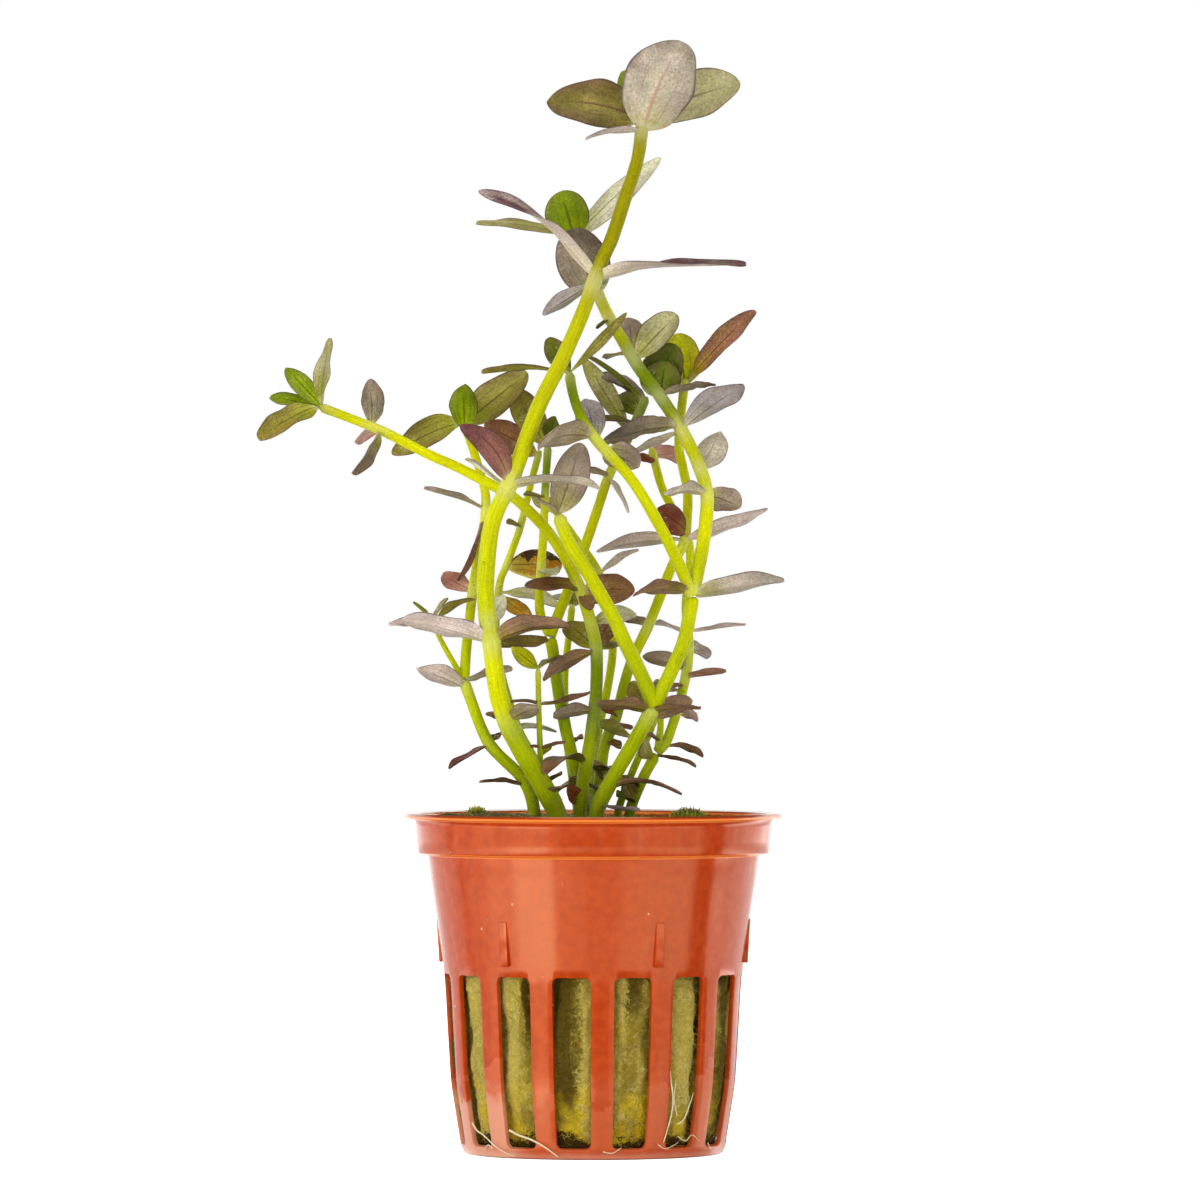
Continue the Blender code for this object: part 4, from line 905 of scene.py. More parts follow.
def stem_finish():
    """Green at the foot, partly painted shade, yellower with height and brown at the top; striped, pale at a
    node, with painted light and painted shade in patches.
    """
    skin = Finish("stem skin", Roughness=0.45, Specular_IOR_Level=0.12, Specular_Tint=(1, 1, 0.4),
                  Subsurface_Weight=0.2, Subsurface_Scale=0.0012, Subsurface_Radius=(1.0, 1.0, 0.2),
                  Sheen_Weight=0.25, Sheen_Roughness=0.3, Sheen_Tint=(1, 1, 0.6))
    cos, sin, along = skin.parts("stalk")
    node, green, lit_patch = skin.parts("tint")
    unrolled = skin.node("CombineXYZ", None, {0: cos * 2.2, 1: sin * 2.2, 2: along * 0.07})
    stripes = skin.node("TexNoise", None, {"Vector": unrolled, "Scale": 3.2, "Detail": 3.0})
    *_, height = skin.split(skin.place)
    patch = skin.clouds(0.12, 2)
    # Darker green low down by the plug, partly the stem's own colour and partly painted shade
    shade = skin.blend((0.12, 0.145, 0.0), (0.42, 0.50, 0.0), skin.ease_mm(height + patch * (8 * MM), 50, 62))
    shade = skin.blend(shade, (0.57, 0.59, 0.0), skin.ease_mm(height + patch * (20 * MM), 66, 100))
    # Painted light: a brighter yellow where a shoot stands in full light
    shade = skin.blend(shade, (0.80, 0.77, 0.0), lit_patch * 0.6)
    shade = skin.blend(shade, (0.48, 0.47, 0.0), skin.ease_mm(height + patch * (10 * MM), 108, 116))
    shade = skin.blend(shade, (0.31, 0.28, 0.0), skin.ease_mm(height + patch * (10 * MM), 122, 136))
    # Painted shade, in part: a darker green where a shoot is shady
    shade = skin.blend(shade, (0.15, 0.225, 0.0), green * 0.9)
    shade = skin.blend(shade, 0.5 + stripes, 0.8, "MULTIPLY")
    shade = skin.blend(shade, 0.2 + skin.clouds(2.8, 3, rough=0.7) * 1.6, 0.45, "MULTIPLY")
    shade = skin.blend(shade, 0.6 + patch * 0.8, 0.6, "MULTIPLY")
    flecks = skin.ease(skin.clouds(2.4, 2), 0.64, 0.72) * skin.ease(skin.clouds(0.2, 2), 0.5, 0.6)
    shade = skin.blend(shade, (0.10, 0.09, 0.0), flecks * 0.7)
    shade = skin.blend(shade, (0.80, 0.76, 0.42), node * 0.6)
    skin.drive("Base Color", shade)
    skin.relief(stripes * 0.8 + skin.clouds(1.8, 3) * 0.4, 0.12)
    return skin


# The leaves are small, oval and without stalks, in crossed pairs at the nodes. Their upper side
# is olive to purple-brown and their underside pale taupe, silver or lilac. Each is a ball of
# many rings shaped into a thin cupped blade, whose foot is sunk in its stem.
LEAF_THICK, LEAF_EDGE = 0.36, 0.14
# Where along its length a leaf is widest, and how full its outline is
WIDEST, WIDEST_SMALL, OUTLINE_FULL = 0.45, 0.56, 0.72
# Depth and half width of the groove over the midrib
GROOVE, GROOVE_HALF = 0.12, 0.3
# How far the foot of a leaf is moved to the middle line of its stem
LEAF_SUNK = 0.75
# Faces round the larger and the smaller leaves
LEAF_SIDES, SMALL_LEAF_SIDES = 28, 20
# How much a withered leaf is crumpled, in millimetres
CRUMPLE = {"rust": 0.16, "wilted": 0.2, "dark": 0.1, "dry": 0.3, "amber": 0.15}
# Each finish: upper side, underside, veins, foot, how strongly it is mottled, and how strong its pale sheen
# is, both as specular level and as painted sheen in its colour
LEAF_KINDS = {
    "silver": ((0.28, 0.23, 0.14), (0.55, 0.48, 0.37), (0.62, 0.30, 0.27), (0.50, 0.46, 0.11), 0.35, 0.6),
    "pearl": ((0.30, 0.24, 0.16), (0.42, 0.36, 0.265), (0.52, 0.24, 0.20), (0.50, 0.44, 0.16), 0.45, 0.6),
    "sage": ((0.34, 0.31, 0.08), (0.46, 0.42, 0.19), (0.15, 0.06, 0.05), (0.42, 0.42, 0.04), 0.4, 0.5),
    "taupe": ((0.22, 0.15, 0.09), (0.36, 0.28, 0.19), (0.15, 0.08, 0.06), (0.40, 0.36, 0.06), 0.5, 0.5),
    "mauve": ((0.13, 0.055, 0.062), (0.55, 0.45, 0.38), (0.36, 0.16, 0.15), (0.66, 0.60, 0.36), 0.4, 0.5),
    "blush": ((0.66, 0.51, 0.45), (0.72, 0.59, 0.52), (0.40, 0.20, 0.18), (0.66, 0.58, 0.36), 0.3, 0.5),
    # Lilac is a grey leaf with a painted reflection of the white light above in its colour, which turns it
    # lilac grey
    "lilac": ((0.28, 0.235, 0.225), (0.37, 0.32, 0.30), (0.10, 0.07, 0.07), (0.40, 0.36, 0.16), 0.4, 0.6),
    "plum": ((0.17, 0.045, 0.04), (0.21, 0.065, 0.055), (0.07, 0.018, 0.022), (0.42, 0.24, 0.12), 0.6, 0.35),
    "rose": ((0.36, 0.14, 0.085), (0.43, 0.205, 0.13), (0.14, 0.04, 0.03), (0.50, 0.36, 0.20), 0.5, 0.5),
    "maroon": ((0.19, 0.035, 0.006), (0.22, 0.045, 0.01), (0.07, 0.012, 0.01), (0.34, 0.18, 0.02), 0.7, 0.0),
    "bronze": ((0.17, 0.13, 0.015), (0.2, 0.155, 0.022), (0.10, 0.02, 0.015), (0.24, 0.19, 0.005), 0.9, 0.35),
    "olive": ((0.26, 0.215, 0.015), (0.30, 0.26, 0.04), (0.09, 0.045, 0.015), (0.38, 0.40, 0.0), 0.7, 0.3),
    "lime": ((0.52, 0.53, 0.0), (0.60, 0.61, 0.0), (0.10, 0.09, 0.0), (0.44, 0.50, 0.0), 0.5, 0.05),
    "fresh": ((0.20, 0.28, 0.0), (0.24, 0.32, 0.0), (0.05, 0.045, 0.0), (0.40, 0.50, 0.0), 0.4, 0.05),
    "deep": ((0.085, 0.11, 0.0), (0.10, 0.13, 0.0), (0.03, 0.035, 0.0), (0.26, 0.30, 0.0), 0.6, 0.1),
    "dark": ((0.21, 0.09, 0.03), (0.30, 0.17, 0.085), (0.05, 0.02, 0.012), (0.32, 0.26, 0.02), 0.7, 0.4),
    "dry": ((0.20, 0.15, 0.09), (0.25, 0.20, 0.13), (0.06, 0.04, 0.025), (0.30, 0.26, 0.08), 0.9, 0.5),
    "rust": ((0.30, 0.13, 0.06), (0.28, 0.13, 0.07), (0.12, 0.035, 0.015), (0.55, 0.40, 0.0), 0.9, 0.3),
    "amber": ((0.50, 0.26, 0.01), (0.56, 0.32, 0.015), (0.10, 0.035, 0.005), (0.50, 0.40, 0.05), 0.8, 0.1),
    "pale": ((0.64, 0.61, 0.38), (0.74, 0.70, 0.50), (0.28, 0.22, 0.12), (0.60, 0.60, 0.12), 0.3, 0.4),
    "wilted": ((0.46, 0.19, 0.004), (0.42, 0.25, 0.02), (0.14, 0.06, 0.01), (0.52, 0.42, 0.04), 0.7, 0.1),
}
MARGIN, BROWN, NODE_CREAM = (0.07, 0.028, 0.026), (0.13, 0.045, 0.045), (0.78, 0.72, 0.46)


def leaf_finish(name, upper, lower, vein, foot, mottled, sheen):
    """Greener by the stem and browner outward, with a pale painted sheen, veins, grain and dark margin."""
    leaf = Finish(name + " leaf", Specular_IOR_Level=0.1 + 0.4 * sheen)
    side, share, face = leaf.parts("blade")
    away = abs(side)
    tone = leaf.clouds(0.22, 3)
    greener = leaf.ease(leaf.clouds(0.15, 2), 0.5, 0.64)
    grain = leaf.clouds(2.8, 3, rough=0.7)
    shade = leaf.blend(lower, upper, leaf.ease(face, -0.2, 0.2))
    shade = leaf.blend(shade, leaf.blend(shade, foot, 0.5), greener * 0.4)
    outward = leaf.ease(away * 0.55 + share * 0.35 + tone * 0.7, 0.65, 1.2)
    shade = leaf.blend(shade, leaf.blend(shade, BROWN, 0.75), outward * (0.25 + 0.45 * mottled))
    flush = leaf.ease(share + away * 0.22 + tone * 0.8, 0.95, 0.5)
    shade = leaf.blend(shade, foot, flush * 0.85)
    # Painted sheen: pale patches of the underside's colour, lightened, where a highlight would show
    painted_sheen_colour = tuple(channel * 1.2 + 0.04 for channel in lower)
    shade = leaf.blend(shade, painted_sheen_colour, leaf.ease(leaf.clouds(0.17, 2) + grain * 0.3, 0.6, 0.85) * sheen)
    shade = leaf.blend(shade, tone * 2.8 - 0.45, 0.45 + 0.35 * mottled, "MULTIPLY")
    shade = leaf.blend(shade, grain * 2.1 - 0.03, 0.6 + 0.3 * mottled, "MULTIPLY")
    midrib = leaf.ease(away + share * 0.05, 0.1, 0.03) * leaf.ease(share, 0.95, 0.6)
    long_veins = leaf.ease(abs(away - 0.46), 0.035, 0.01) * leaf.ease(share, 0.8, 0.5)
    outer_veins = leaf.ease(abs(away - 0.75), 0.03, 0.01) * leaf.ease(share, 0.7, 0.4)
    shade = leaf.blend(shade, vein, midrib * 0.65 + long_veins * 0.3 + outer_veins * 0.15)
    shade = leaf.blend(shade, leaf.blend(foot, NODE_CREAM, 0.6), leaf.ease(share, 0.13, 0.04) * 0.6)
    shade = leaf.blend(shade, MARGIN, leaf.ease(away, 0.9, 0.99) * leaf.ease(share, 0.1, 0.3) * 0.75)
    if name == "wilted":
        burnt = leaf.ease(leaf.clouds(0.5, 4) - side * 0.4, 0.62, 0.7)
        shade = leaf.blend(shade, (0.05, 0.022, 0.004), burnt)
        shade = leaf.blend(shade, (0.60, 0.50, 0.08), leaf.ease(side + grain * 0.3, 0.85, 1.0))
    leaf.drive("Base Color", shade)
    leaf.drive("Roughness", 0.34 + grain * 0.25)
    leaf.relief(grain * (0.7 + mottled) - midrib - long_veins * 0.6 - outer_veins * 0.4, 0.1)
    return leaf


kinds = {name: leaf_finish(name, *looks) for name, looks in LEAF_KINDS.items()}


def shape_leaf(bm, row, sides, stem=None, slot=0, fullest=WIDEST):
    """Shape a ball into one cupped blade from its node to its tip, and note its node.

    A row has the finish, foot, tip, width, the way the upper side looks, arch and fold, and may
    go on with how far the middle bends sideways and up, how far the tip is twisted, and how far
    the widest place shifts, on both sides and from one side to the other.
    """
    kind, foot, tip, width, looks, arch, fold, *bends = row
    aside, lifted, twist, fuller, skew = bends + [0] * (5 - len(bends))
    foot, tip = Vector(foot), Vector(tip)
    stem, index = nearest_on_stem(foot, stem)
    node_places[stem].append(index)
    foot = foot.lerp(routes[stem][index], LEAF_SUNK)
    along = (tip - foot).normalized()
    length = (tip - foot).length
    up = Vector(looks)
    up = (up - up.dot(along) * along).normalized()
    pointed = min(max((length / width - 1.1) / 1.2, 0), 1)
    blade = note_of(bm, "blade")
    ball = bmesh.ops.create_uvsphere(bm, u_segments=sides, v_segments=round(sides * 1.2), radius=1)["verts"]
    for vert in ball:
        share = (1 + vert.co.z) / 2
        ring = math.sqrt(max(1 - vert.co.z ** 2, 0))
        side = vert.co.x / ring if ring > 0.01 else 0
        face = vert.co.y / ring if ring > 0.01 else 0
        widest = fullest + fuller + math.copysign(skew, side)
        oval = math.sin(math.pi * min(share, 1) ** (math.log(0.5) / math.log(widest))) ** OUTLINE_FULL
        reach = ring + (oval - ring) * pointed * (1 - 0.65 * share ** 2)
        uneven = noise.noise(tip + Vector((share * 4, 3 if side > 0 else 0, 0)))
        half = width / 2 * reach * (1 + 0.05 * uneven)
        lift = arch * 4 * share * (1 - share) + fold * abs(side) ** 1.4 * reach
        lift += width * 0.16 * noise.noise(tip + Vector((share * 3.0, side * 1.2, 0))) * side ** 2
        lift += 0.04 * length * noise.noise(foot + Vector((share * 1.4, 0, 0)))
        crumpled = noise.noise(tip + Vector((share * length * 1.1, side * half * 1.3, 0)))
        lift += CRUMPLE.get(kind, 0) * crumpled * ring
        groove = GROOVE * math.exp(-(side * half / GROOVE_HALF) ** 2) * ring
        thick = LEAF_EDGE + (LEAF_THICK - LEAF_EDGE) * (1 - abs(side) ** 3)
        thick *= math.copysign(abs(face) ** 0.7, face) * min(1, 4 * ring) / 2
        turned = Matrix.Rotation(math.radians(twist) * share, 3, along) @ up
        across = along.cross(turned)
        middle = foot + along * length * share + Vector((aside, 0, lifted)) * math.sin(math.pi * share)
        vert[blade] = (side, share, face)
        vert.co = middle + across * half * side + turned * (lift - groove + thick)
    for face in {face for vert in ball for face in vert.link_faces}:
        face.material_index = slot


# The larger leaves, each of which stands for a node of its own
LEAVES = {
    "leaf_top_front": (
        "pearl", (7.3, -14.4, 147.7), (12.5, -18.1, 160.3), 10.6,
        (-0.3, 1, 0.1), 0.6, 0.3, -0.35, 0, 0, 0.03, -0.11),
    "leaf_top_left": (
        "bronze", (5.8, -12.9, 150.2), (-6.7, -11.6, 152.0), 7.6,
        (0, -0.85, 0.45), 0.5, 0.4, 0, 0.5, 0),
    "leaf_top_right": (
        "sage", (8.3, -11.6, 149.2), (21, -8, 154.9), 7.4,
        (0.2, 0.9, 0.5), 0.6, 0.4, 0, 0.5, 0, 0.12),
    "leaf_upper_left": (
        "mauve", (-1.4, -13.9, 126.6), (-16.4, -13.9, 139.1), 6.2,
        (0.49, 0.64, 0.59), 0.5, 0.5, 0.3, 1.3, -85),
    "leaf_upper_right": (
        "mauve", (1.4, -13.6, 126), (21.9, -15.2, 128.7), 6.2,
        (0, 0.37, 0.93), 0.2, 0.5, 0, 0.75, 52),
    "leaf_upper_round": ("dry", (0.0, -9.6, 123.6), (-3.5, -9.6, 133.5), 7.6, (0, 1, 0.1), 0.2, 0.2),
    "leaf_crown_left": ("sage", (-4.8, -6.1, 133.5), (-17, -3.8, 134.7), 6.0, (0, -0.25, 1), 0.5, 0.4),
    "leaf_crown_round": ("fresh", (-2.0, -8.1, 133.6), (-4.7, -8.4, 139.1), 6.4, (0, -1, 0), 0.2, 0.2),
    "leaf_crown_right": ("pale", (-1.8, -5.2, 133.2), (9.7, -2.2, 144.3), 3.4, (0.7, 0.35, 0.6), -0.4, 0.5),
    "leaf_node_left": (
        "plum", (-13.1, -15.7, 97.7), (-19, -17.4, 105.3), 4.0,
        (-0.3, -0.9, 0.3), 0.4, 0.4, 1.0, 0.85, 0),
    "leaf_node_right": ("silver", (-11, -14.8, 96.3), (0.8, -17.4, 96), 5.0, (0, 0.3, 1), 1.2, 0.3),
    "leaf_middle_left": (
        "blush", (-16.6, -11.4, 74.3), (-27.5, -13.4, 77.5), 5.4,
        (-0.1, 0.45, 0.9), 0.5, 0.4),
    "leaf_middle_right": ("dark", (-13.6, -11.7, 74.4), (-3.2, -13.3, 76.6), 5.0, (0, 0.5, 0.9), 1.0, 0.4),
    "leaf_wing_right": (
        "lilac", (14.3, -2.9, 106), (21.6, -7.2, 111.4), 5.4,
        (-0.3, 0.7, 0.6), 0.5, 0.4, 0, 0, 0, 0.08),
    "leaf_wing_left": ("dry", (11.3, -4.6, 104.9), (1.2, -7.8, 103.1), 5.0, (0, 0.6, 0.8), 0.5, 0.4),
    "leaf_fork_left": ("dark", (13, -8.4, 81.2), (5.8, -12.5, 80.8), 5.0, (0, 0.5, 0.9), 0.9, 0.3),
    "leaf_fork_right": ("silver", (15.7, -7.2, 81.1), (27.5, -8.5, 83.1), 5.8, (0, 0.5, 0.9), 0.4, 0.3),
    "leaf_round_right": ("taupe", (17.6, -3.8, 95.1), (21.4, 0.7, 93.8), 4.4, (0, 0.9, 0.4), 0.3, 0.2),
    "leaf_inner_upright": ("taupe", (-5.1, -9.6, 93.4), (-1.7, -9.6, 102.8), 5.4, (0.2, 1, 0), 0.4, 0.3),
    "leaf_reach_up": (
        "dry", (-31.5, -9.1, 106.3), (-32.2, -8.1, 112.1), 3.5,
        (0.3, 0.9, 0.2), 0.3, 0.3, 0, 0, 0, 0.06),
    "leaf_reach_front": ("taupe", (-31.2, -10.4, 103.7), (-34.7, -13, 98.3), 3.4, (0.85, 0.2, 0.5), 0.5, 0.5),
    "leaf_tip_up": ("sage", (-38.9, -10.4, 109.3), (-37.8, -10.4, 117.9), 5.0, (-0.9, -0.45, 0.2), 0.4, 0.4),
    "leaf_tip_down": (
        "olive", (-40.3, -11.9, 107.5), (-48.1, -14.2, 103.3), 5.6,
        (-0.2, -0.6, 0.8), 0.6, 0.4),
    "leaf_inner_left": ("taupe", (-0.5, -13, 103.5), (-7.9, -17.1, 102.3), 5.8, (0, 0.7, 0.7), 1.2, 0.3),
    "leaf_inner_right": ("taupe", (1.9, -9.3, 102.2), (6.6, -6.1, 99.5), 4.6, (0, 0.9, 0.5), 0.3, 0.2),
    "leaf_back_left": ("olive", (-19.9, -1.4, 105.5), (-29.3, -1.4, 101.5), 5.6, (0, -0.7, 0.7), 0.6, 0.4),
    "leaf_back_right": ("olive", (-18, -1.4, 106.1), (-9.6, -1.4, 113.2), 5.4, (0.3, 0.8, 0.5), 0.5, 0.4),
    "leaf_round_green": ("deep", (9.2, 1.2, 110.8), (11.9, 0.3, 117.3), 6.0, (0, -1, 0.1), 0.3, 0.5),
    "leaf_orange": (
        "rust", (14.2, 1.7, 112.6), (23.5, -0.9, 122.1), 4.1,
        (0.3, -0.6, 0.7), 0.4, 0.5, 0, 0, 0, 0.05),
    "leaf_edge_right": ("blush", (14.5, 2.9, 88.9), (25.2, 0, 93.7), 5.0, (-0.2, 0.45, 0.9), -0.4, 0.4),
    "leaf_cross_right": ("dark", (-0.7, -2.2, 81.9), (6, -2, 81.6), 5.4, (0, -0.9, 0.5), 0.4, 0.3),
}
# The smaller leaves, by the stem that they grow from
SMALL_LEAVES = {
    "stem_main": (
        ("mauve", (6.8, -12.6, 147.6), (-1.1, -18.8, 146.4), 3.6, (0, 0.3, 1), 0.5, 0.2),
        ("fresh", (7, -11.6, 148.6), (4.4, -4.3, 156.8), 3.8, (0, -1, 0.2), 0.3, 0.3),
        ("lilac", (-0.2, -13.2, 125.2), (-7.3, -8.7, 121.3), 2.7, (0.3, 0.5, 0.8), 0.4, 0.3),
        ("pale", (-12.9, -12.5, 96.6), (-18.4, -9.7, 100.6), 3.2, (0, 0.2, 1), 0.3, 0.2),
        ("bronze", (-14.6, -9.3, 74), (-6.6, -4.2, 74.4), 4.2, (0, -0.4, 0.9), -0.3, 0.3),
        ("pale", (-14.3, -13.3, 76.5), (-12.9, -7.3, 80.8), 2.8, (0, 1, 0.2), 0.2, 0.3),
        ("taupe", (-12.6, -8.6, 62.5), (-8, -13.7, 65), 3.2, (0, 0.8, 0.5), 0.3, 0.2),
        ("dark", (-12.8, -7.5, 62.6), (-15.4, -4.7, 63.9), 2.4, (0, -0.4, 1), 0.2, 0.2),
        ("pale", (-12.5, -6.8, 61.6), (-5.4, 1.7, 61.2), 2.6, (0, -0.5, 1), 0.5, 0.2),
        ("dark", (-6.6, -5, 51.9), (-4.5, -9.1, 53.4), 2.0, (0, -0.3, 1), 0.2, 0.2),
    ),
    "stem_right_base": (
        ("dark", (2.2, -4.2, 53.3), (12.8, -7, 52.2), 3.4, (0, 0.1, 1), 1.4, 0.3),
        ("dark", (8.2, -7, 64.3), (0.4, -10.9, 65.4), 4.6, (0, 0.45, 0.9), 0.2, 0.3),
        ("dark", (8.4, -6.8, 64.2), (15.5, -9.8, 64.6), 3.2, (0, 0.1, 1), 0.3, 0.2),
        ("dark", (8.4, -6.2, 63.2), (14.3, -2.1, 65.7), 3.4, (0, 0.9, 0.4), 0.2, 0.2),
        ("olive", (8.2, -6.2, 63.6), (5.6, -1.9, 68.5), 3.6, (0, -0.9, 0.4), 0.2, 0.2),
        ("dark", (1.8, -3.4, 52.7), (5, -1.8, 54), 2.4, (0, -0.5, 0.8), 0.3, 0.2),
        ("lilac", (1.4, -4, 50.4), (6.7, -9, 50.1), 2.6, (0, 0.2, 1), -0.3, 0.2),
    ),
    "stem_right_upper": (
        ("silver", (13.1, -1.7, 104.8), (5.6, 1.4, 101.2), 3.6, (0, 0.1, 1), 0.1, 0.2),
        ("silver", (16.3, -4.9, 95.8), (10.3, -9.9, 95.5), 4.2, (0, 0.5, 0.8), 0.7, 0.3),
        ("sage", (6.9, -4.2, 115.5), (12.1, -5.2, 121.4), 5.0, (-0.3, 0.8, 0.5), 0.4, 0.3),
        ("taupe", (6.1, -3.5, 116.4), (5.2, 3.2, 121.2), 4.0, (0, -0.9, 0.3), 0.3, 0.3),
        ("olive", (5.9, -3.8, 116.1), (1.8, 3.5, 115.4), 3.8, (0, -0.5, 0.9), 0.3, 0.2),
        ("deep", (2.7, -5.8, 120.9), (0.4, -7.2, 119.4), 1.6, (0, 0, 1), 0.1, 0.1),
        ("dry", (9.9, -2.6, 110), (17.7, -4.3, 111.3), 3.2, (0, 0.2, 1), 0.3, 0.2),
        ("silver", (14.5, -2.2, 98.2), (18.5, 4.3, 104.6), 4.6, (0.3, 0.9, 0.3), 0.3, 0.3),
        ("deep", (10.1, -0.9, 110.3), (10.4, -1.7, 114.8), 5.3, (0, -1, 0.15), 0.2, -0.4),
    ),
    "branch_centre": (
        ("taupe", (-5, -8.4, 92.2), (-8, -11, 94.9), 2.2, (0, -0.3, 1), 0.2, 0.2),
    ),
    "stem_left_reach": (
        ("dark", (-1.1, -1.6, 56.4), (-7, -10.8, 55.3), 5.0, (0, 0.3, 1), 1.6, 0.3),
        ("dark", (-0.8, -1.4, 55.9), (2.5, 4.1, 55.8), 3.2, (0, -0.5, 0.8), 0.4, 0.2),
        ("olive", (0.1, -1.8, 62.1), (5.3, 2.5, 60.3), 3.6, (0, -0.6, 0.7), 0.4, 0.3),
        ("taupe", (0.1, -2, 64), (-5.8, -5.8, 63.5), 3.6, (0, 0.7, 0.7), 0.4, 0.2),
        ("dark", (0.2, -1.4, 64.1), (2.1, 0.9, 65), 2.4, (0, -0.6, 0.8), 0.1, 0.1),
        ("dark", (0.4, -2.3, 73), (-7.4, -6, 68.8), 4.4, (0.1, 0.6, 0.8), 0.5, 0.3),
        ("olive", (0.2, -1, 73.2), (-4, 4, 77), 4.2, (0, -0.8, 0.5), 0.3, 0.3),
        ("dark", (0.4, -1.3, 73.1), (2.5, 4.4, 77.7), 3.2, (0, -0.9, 0.2), 0.2, 0.2),
        ("olive", (0.4, -1.5, 73), (4.6, 4.8, 73.9), 2.6, (0, -0.6, 0.8), 0.2, 0.2),
        ("pale", (-0.4, -1.1, 76.7), (6.2, 2, 78.2), 3.6, (0, -0.7, 0.7), 0.7, 0.2),
        ("dark", (-2, -1.8, 81.9), (-9.9, -5.6, 82.1), 4.8, (0, -0.55, 0.8), 0.4, 0.3),
        ("dark", (-1.8, -2, 81.5), (-0.2, -4.1, 78.9), 2.2, (0, -1, 0.4), 0.1, 0.1),
        ("rose", (-30.8, -8.1, 104.7), (-34.4, -0.6, 103.4), 3.0, (0, -0.9, 0.4), 0.2, 0.2),
        ("fresh", (-38.9, -9.7, 107.8), (-46.7, -4.9, 109.2), 3.6, (0, -0.6, 0.8), 0.3, 0.3),
        ("fresh", (-38.8, -9.7, 107.7), (-44.4, -5.2, 113.6), 3.0, (0, -1, 0.2), 0.3, 0.3),
        ("maroon", (-1.8, -1.1, 50.8), (-3.7, -2.6, 53.3), 2.4, (-0.2, -0.8, 0.5), 0.3, 0.2),
        ("bronze", (-1.8, -1.1, 52.2), (-3.3, 1, 54.4), 2.0, (0, -0.6, 0.8), 0.3, 0.3),
    ),
    "branch_inner": (
        ("lilac", (0.4, -10.9, 103.1), (-1.2, -6.4, 109.2), 4.4, (0, -1, 0.1), 0.3, 0.3),
        ("olive", (-3.4, -9, 112.8), (4.8, -8.7, 121.6), 1.7, (0.7, 0.1, 0.7), 0.2, 0.2),
        ("olive", (-3.5, -8.8, 112.8), (-16.2, -6.1, 113.1), 4.4, (0, 0.1, 1), 0.7, 0.3),
        ("deep", (-3.5, -9, 112.5), (-6.6, -4.7, 118.1), 3.4, (0, -1, 0.2), 0.3, 0.3),
    ),
    "stem_left_base": (
        ("plum", (-15.1, -4.2, 59.2), (-20.9, -6.2, 55.8), 3.0, (0.2, 0, 1), 0.2, 0.2),
        ("plum", (-15.1, -4.3, 59.5), (-13.2, -2.8, 61), 2.2, (0, 0, 1), 0.1, 0.1),
        ("dark", (-9.9, -3.5, 53.6), (-16.5, -6.6, 53.9), 2.8, (0, 0.1, 1), 0.3, 0.2),
        ("blush", (-18.4, -4.3, 67.8), (-25.4, -8.6, 70.4), 4.0, (0, 0.7, 0.7), 0.4, 0.3),
        ("mauve", (-18.7, -3.8, 68.6), (-11.7, -2, 70.2), 3.8, (0, 0.4, 0.9), 0.2, 0.2),
    ),
    "stem_left_upper": (
        ("taupe", (-15.6, -2.6, 93.4), (-24.5, -4.9, 96.5), 3.0, (0, 0.1, 1), 0.3, 0.2),
        ("plum", (-15.6, -2.9, 92.5), (-19.6, -6.5, 82.9), 3.0, (0.9, 0.1, 0.5), 0.2, 0.2),
        ("rose", (-17.6, -3.4, 81.6), (-21.9, 3.1, 83.8), 3.2, (0, -1, 0.3), 0.1, 0.2),
        ("fresh", (-18.8, -1.9, 105.3), (-18.8, -6.9, 111.1), 4.2, (0, -1, 0.2), 0.2, 0.3),
    ),
    "twig_left": (
        ("blush", (-23, -4.8, 76.9), (-29.6, -7.9, 76.7), 2.8, (0, 0.5, 0.9), 0.3, 0.2),
        ("olive", (-23, -4.8, 76.9), (-17.1, -7.4, 80.3), 2.6, (0, 0.3, 1), 1.0, 0.2),
        ("fresh", (-23.3, -6.3, 77.9), (-26, -7.6, 79.9), 1.7, (0, -0.4, 1), 0.1, 0.2),
        ("sage", (-23.3, -6.3, 77.9), (-21, -5.5, 80.5), 1.5, (0, -0.4, 1), 0.1, 0.2),
    ),
    "stem_centre_upper": (
        ("olive", (-6.9, 1.7, 102), (-11.7, 3.2, 111), 4.6, (0, -0.9, 0.3), 0.3, 0.3),
        ("deep", (-6.6, 1.7, 102.4), (-5.6, -5.2, 106.6), 2.8, (0, -1, 0.2), 0.1, 0.2),
        ("olive", (-7, 2, 95), (-10.1, 0, 95.6), 2.2, (0, -0.4, 0.9), 0.1, 0.1),
        ("pale", (-7.6, 1.7, 84.8), (-5.3, -6.5, 84), 2.8, (0, -0.7, 0.6), 0.1, 0.2),
    ),
    "branch_back": (
        ("taupe", (2.2, 2.9, 98.2), (-2, -4.2, 99.3), 2.8, (0, 0.2, 1), 0.2, 0.2),
        ("silver", (2.4, 2.9, 97.9), (5.1, -2.6, 92.9), 2.8, (0.8, 0.3, 0.6), 0.2, 0.2),
        ("deep", (7.5, 1.4, 109.4), (-0.9, 1.7, 115.5), 2.0, (0.4, 0.3, 0.9), 0.3, 0.2),
        ("deep", (6.7, 2, 107.2), (2.7, 8.8, 109.7), 4.4, (0, -0.8, 0.5), 0.3, 0.3),
        ("bronze", (6.2, 2, 105.8), (1.7, -4.9, 106.1), 3.2, (0, -0.5, 0.8), 0.3, 0.2),
        ("sage", (5.3, 2.6, 104.3), (-1.5, 5.8, 115.4), 3.2, (0.2, -0.9, 0.1), 0.3, 0.3),
        ("dry", (7.5, 1.7, 109.5), (1.2, 5.5, 113.1), 3.6, (0, -0.5, 0.9), 0.3, 0.2),
    ),
    "stem_back_left": (
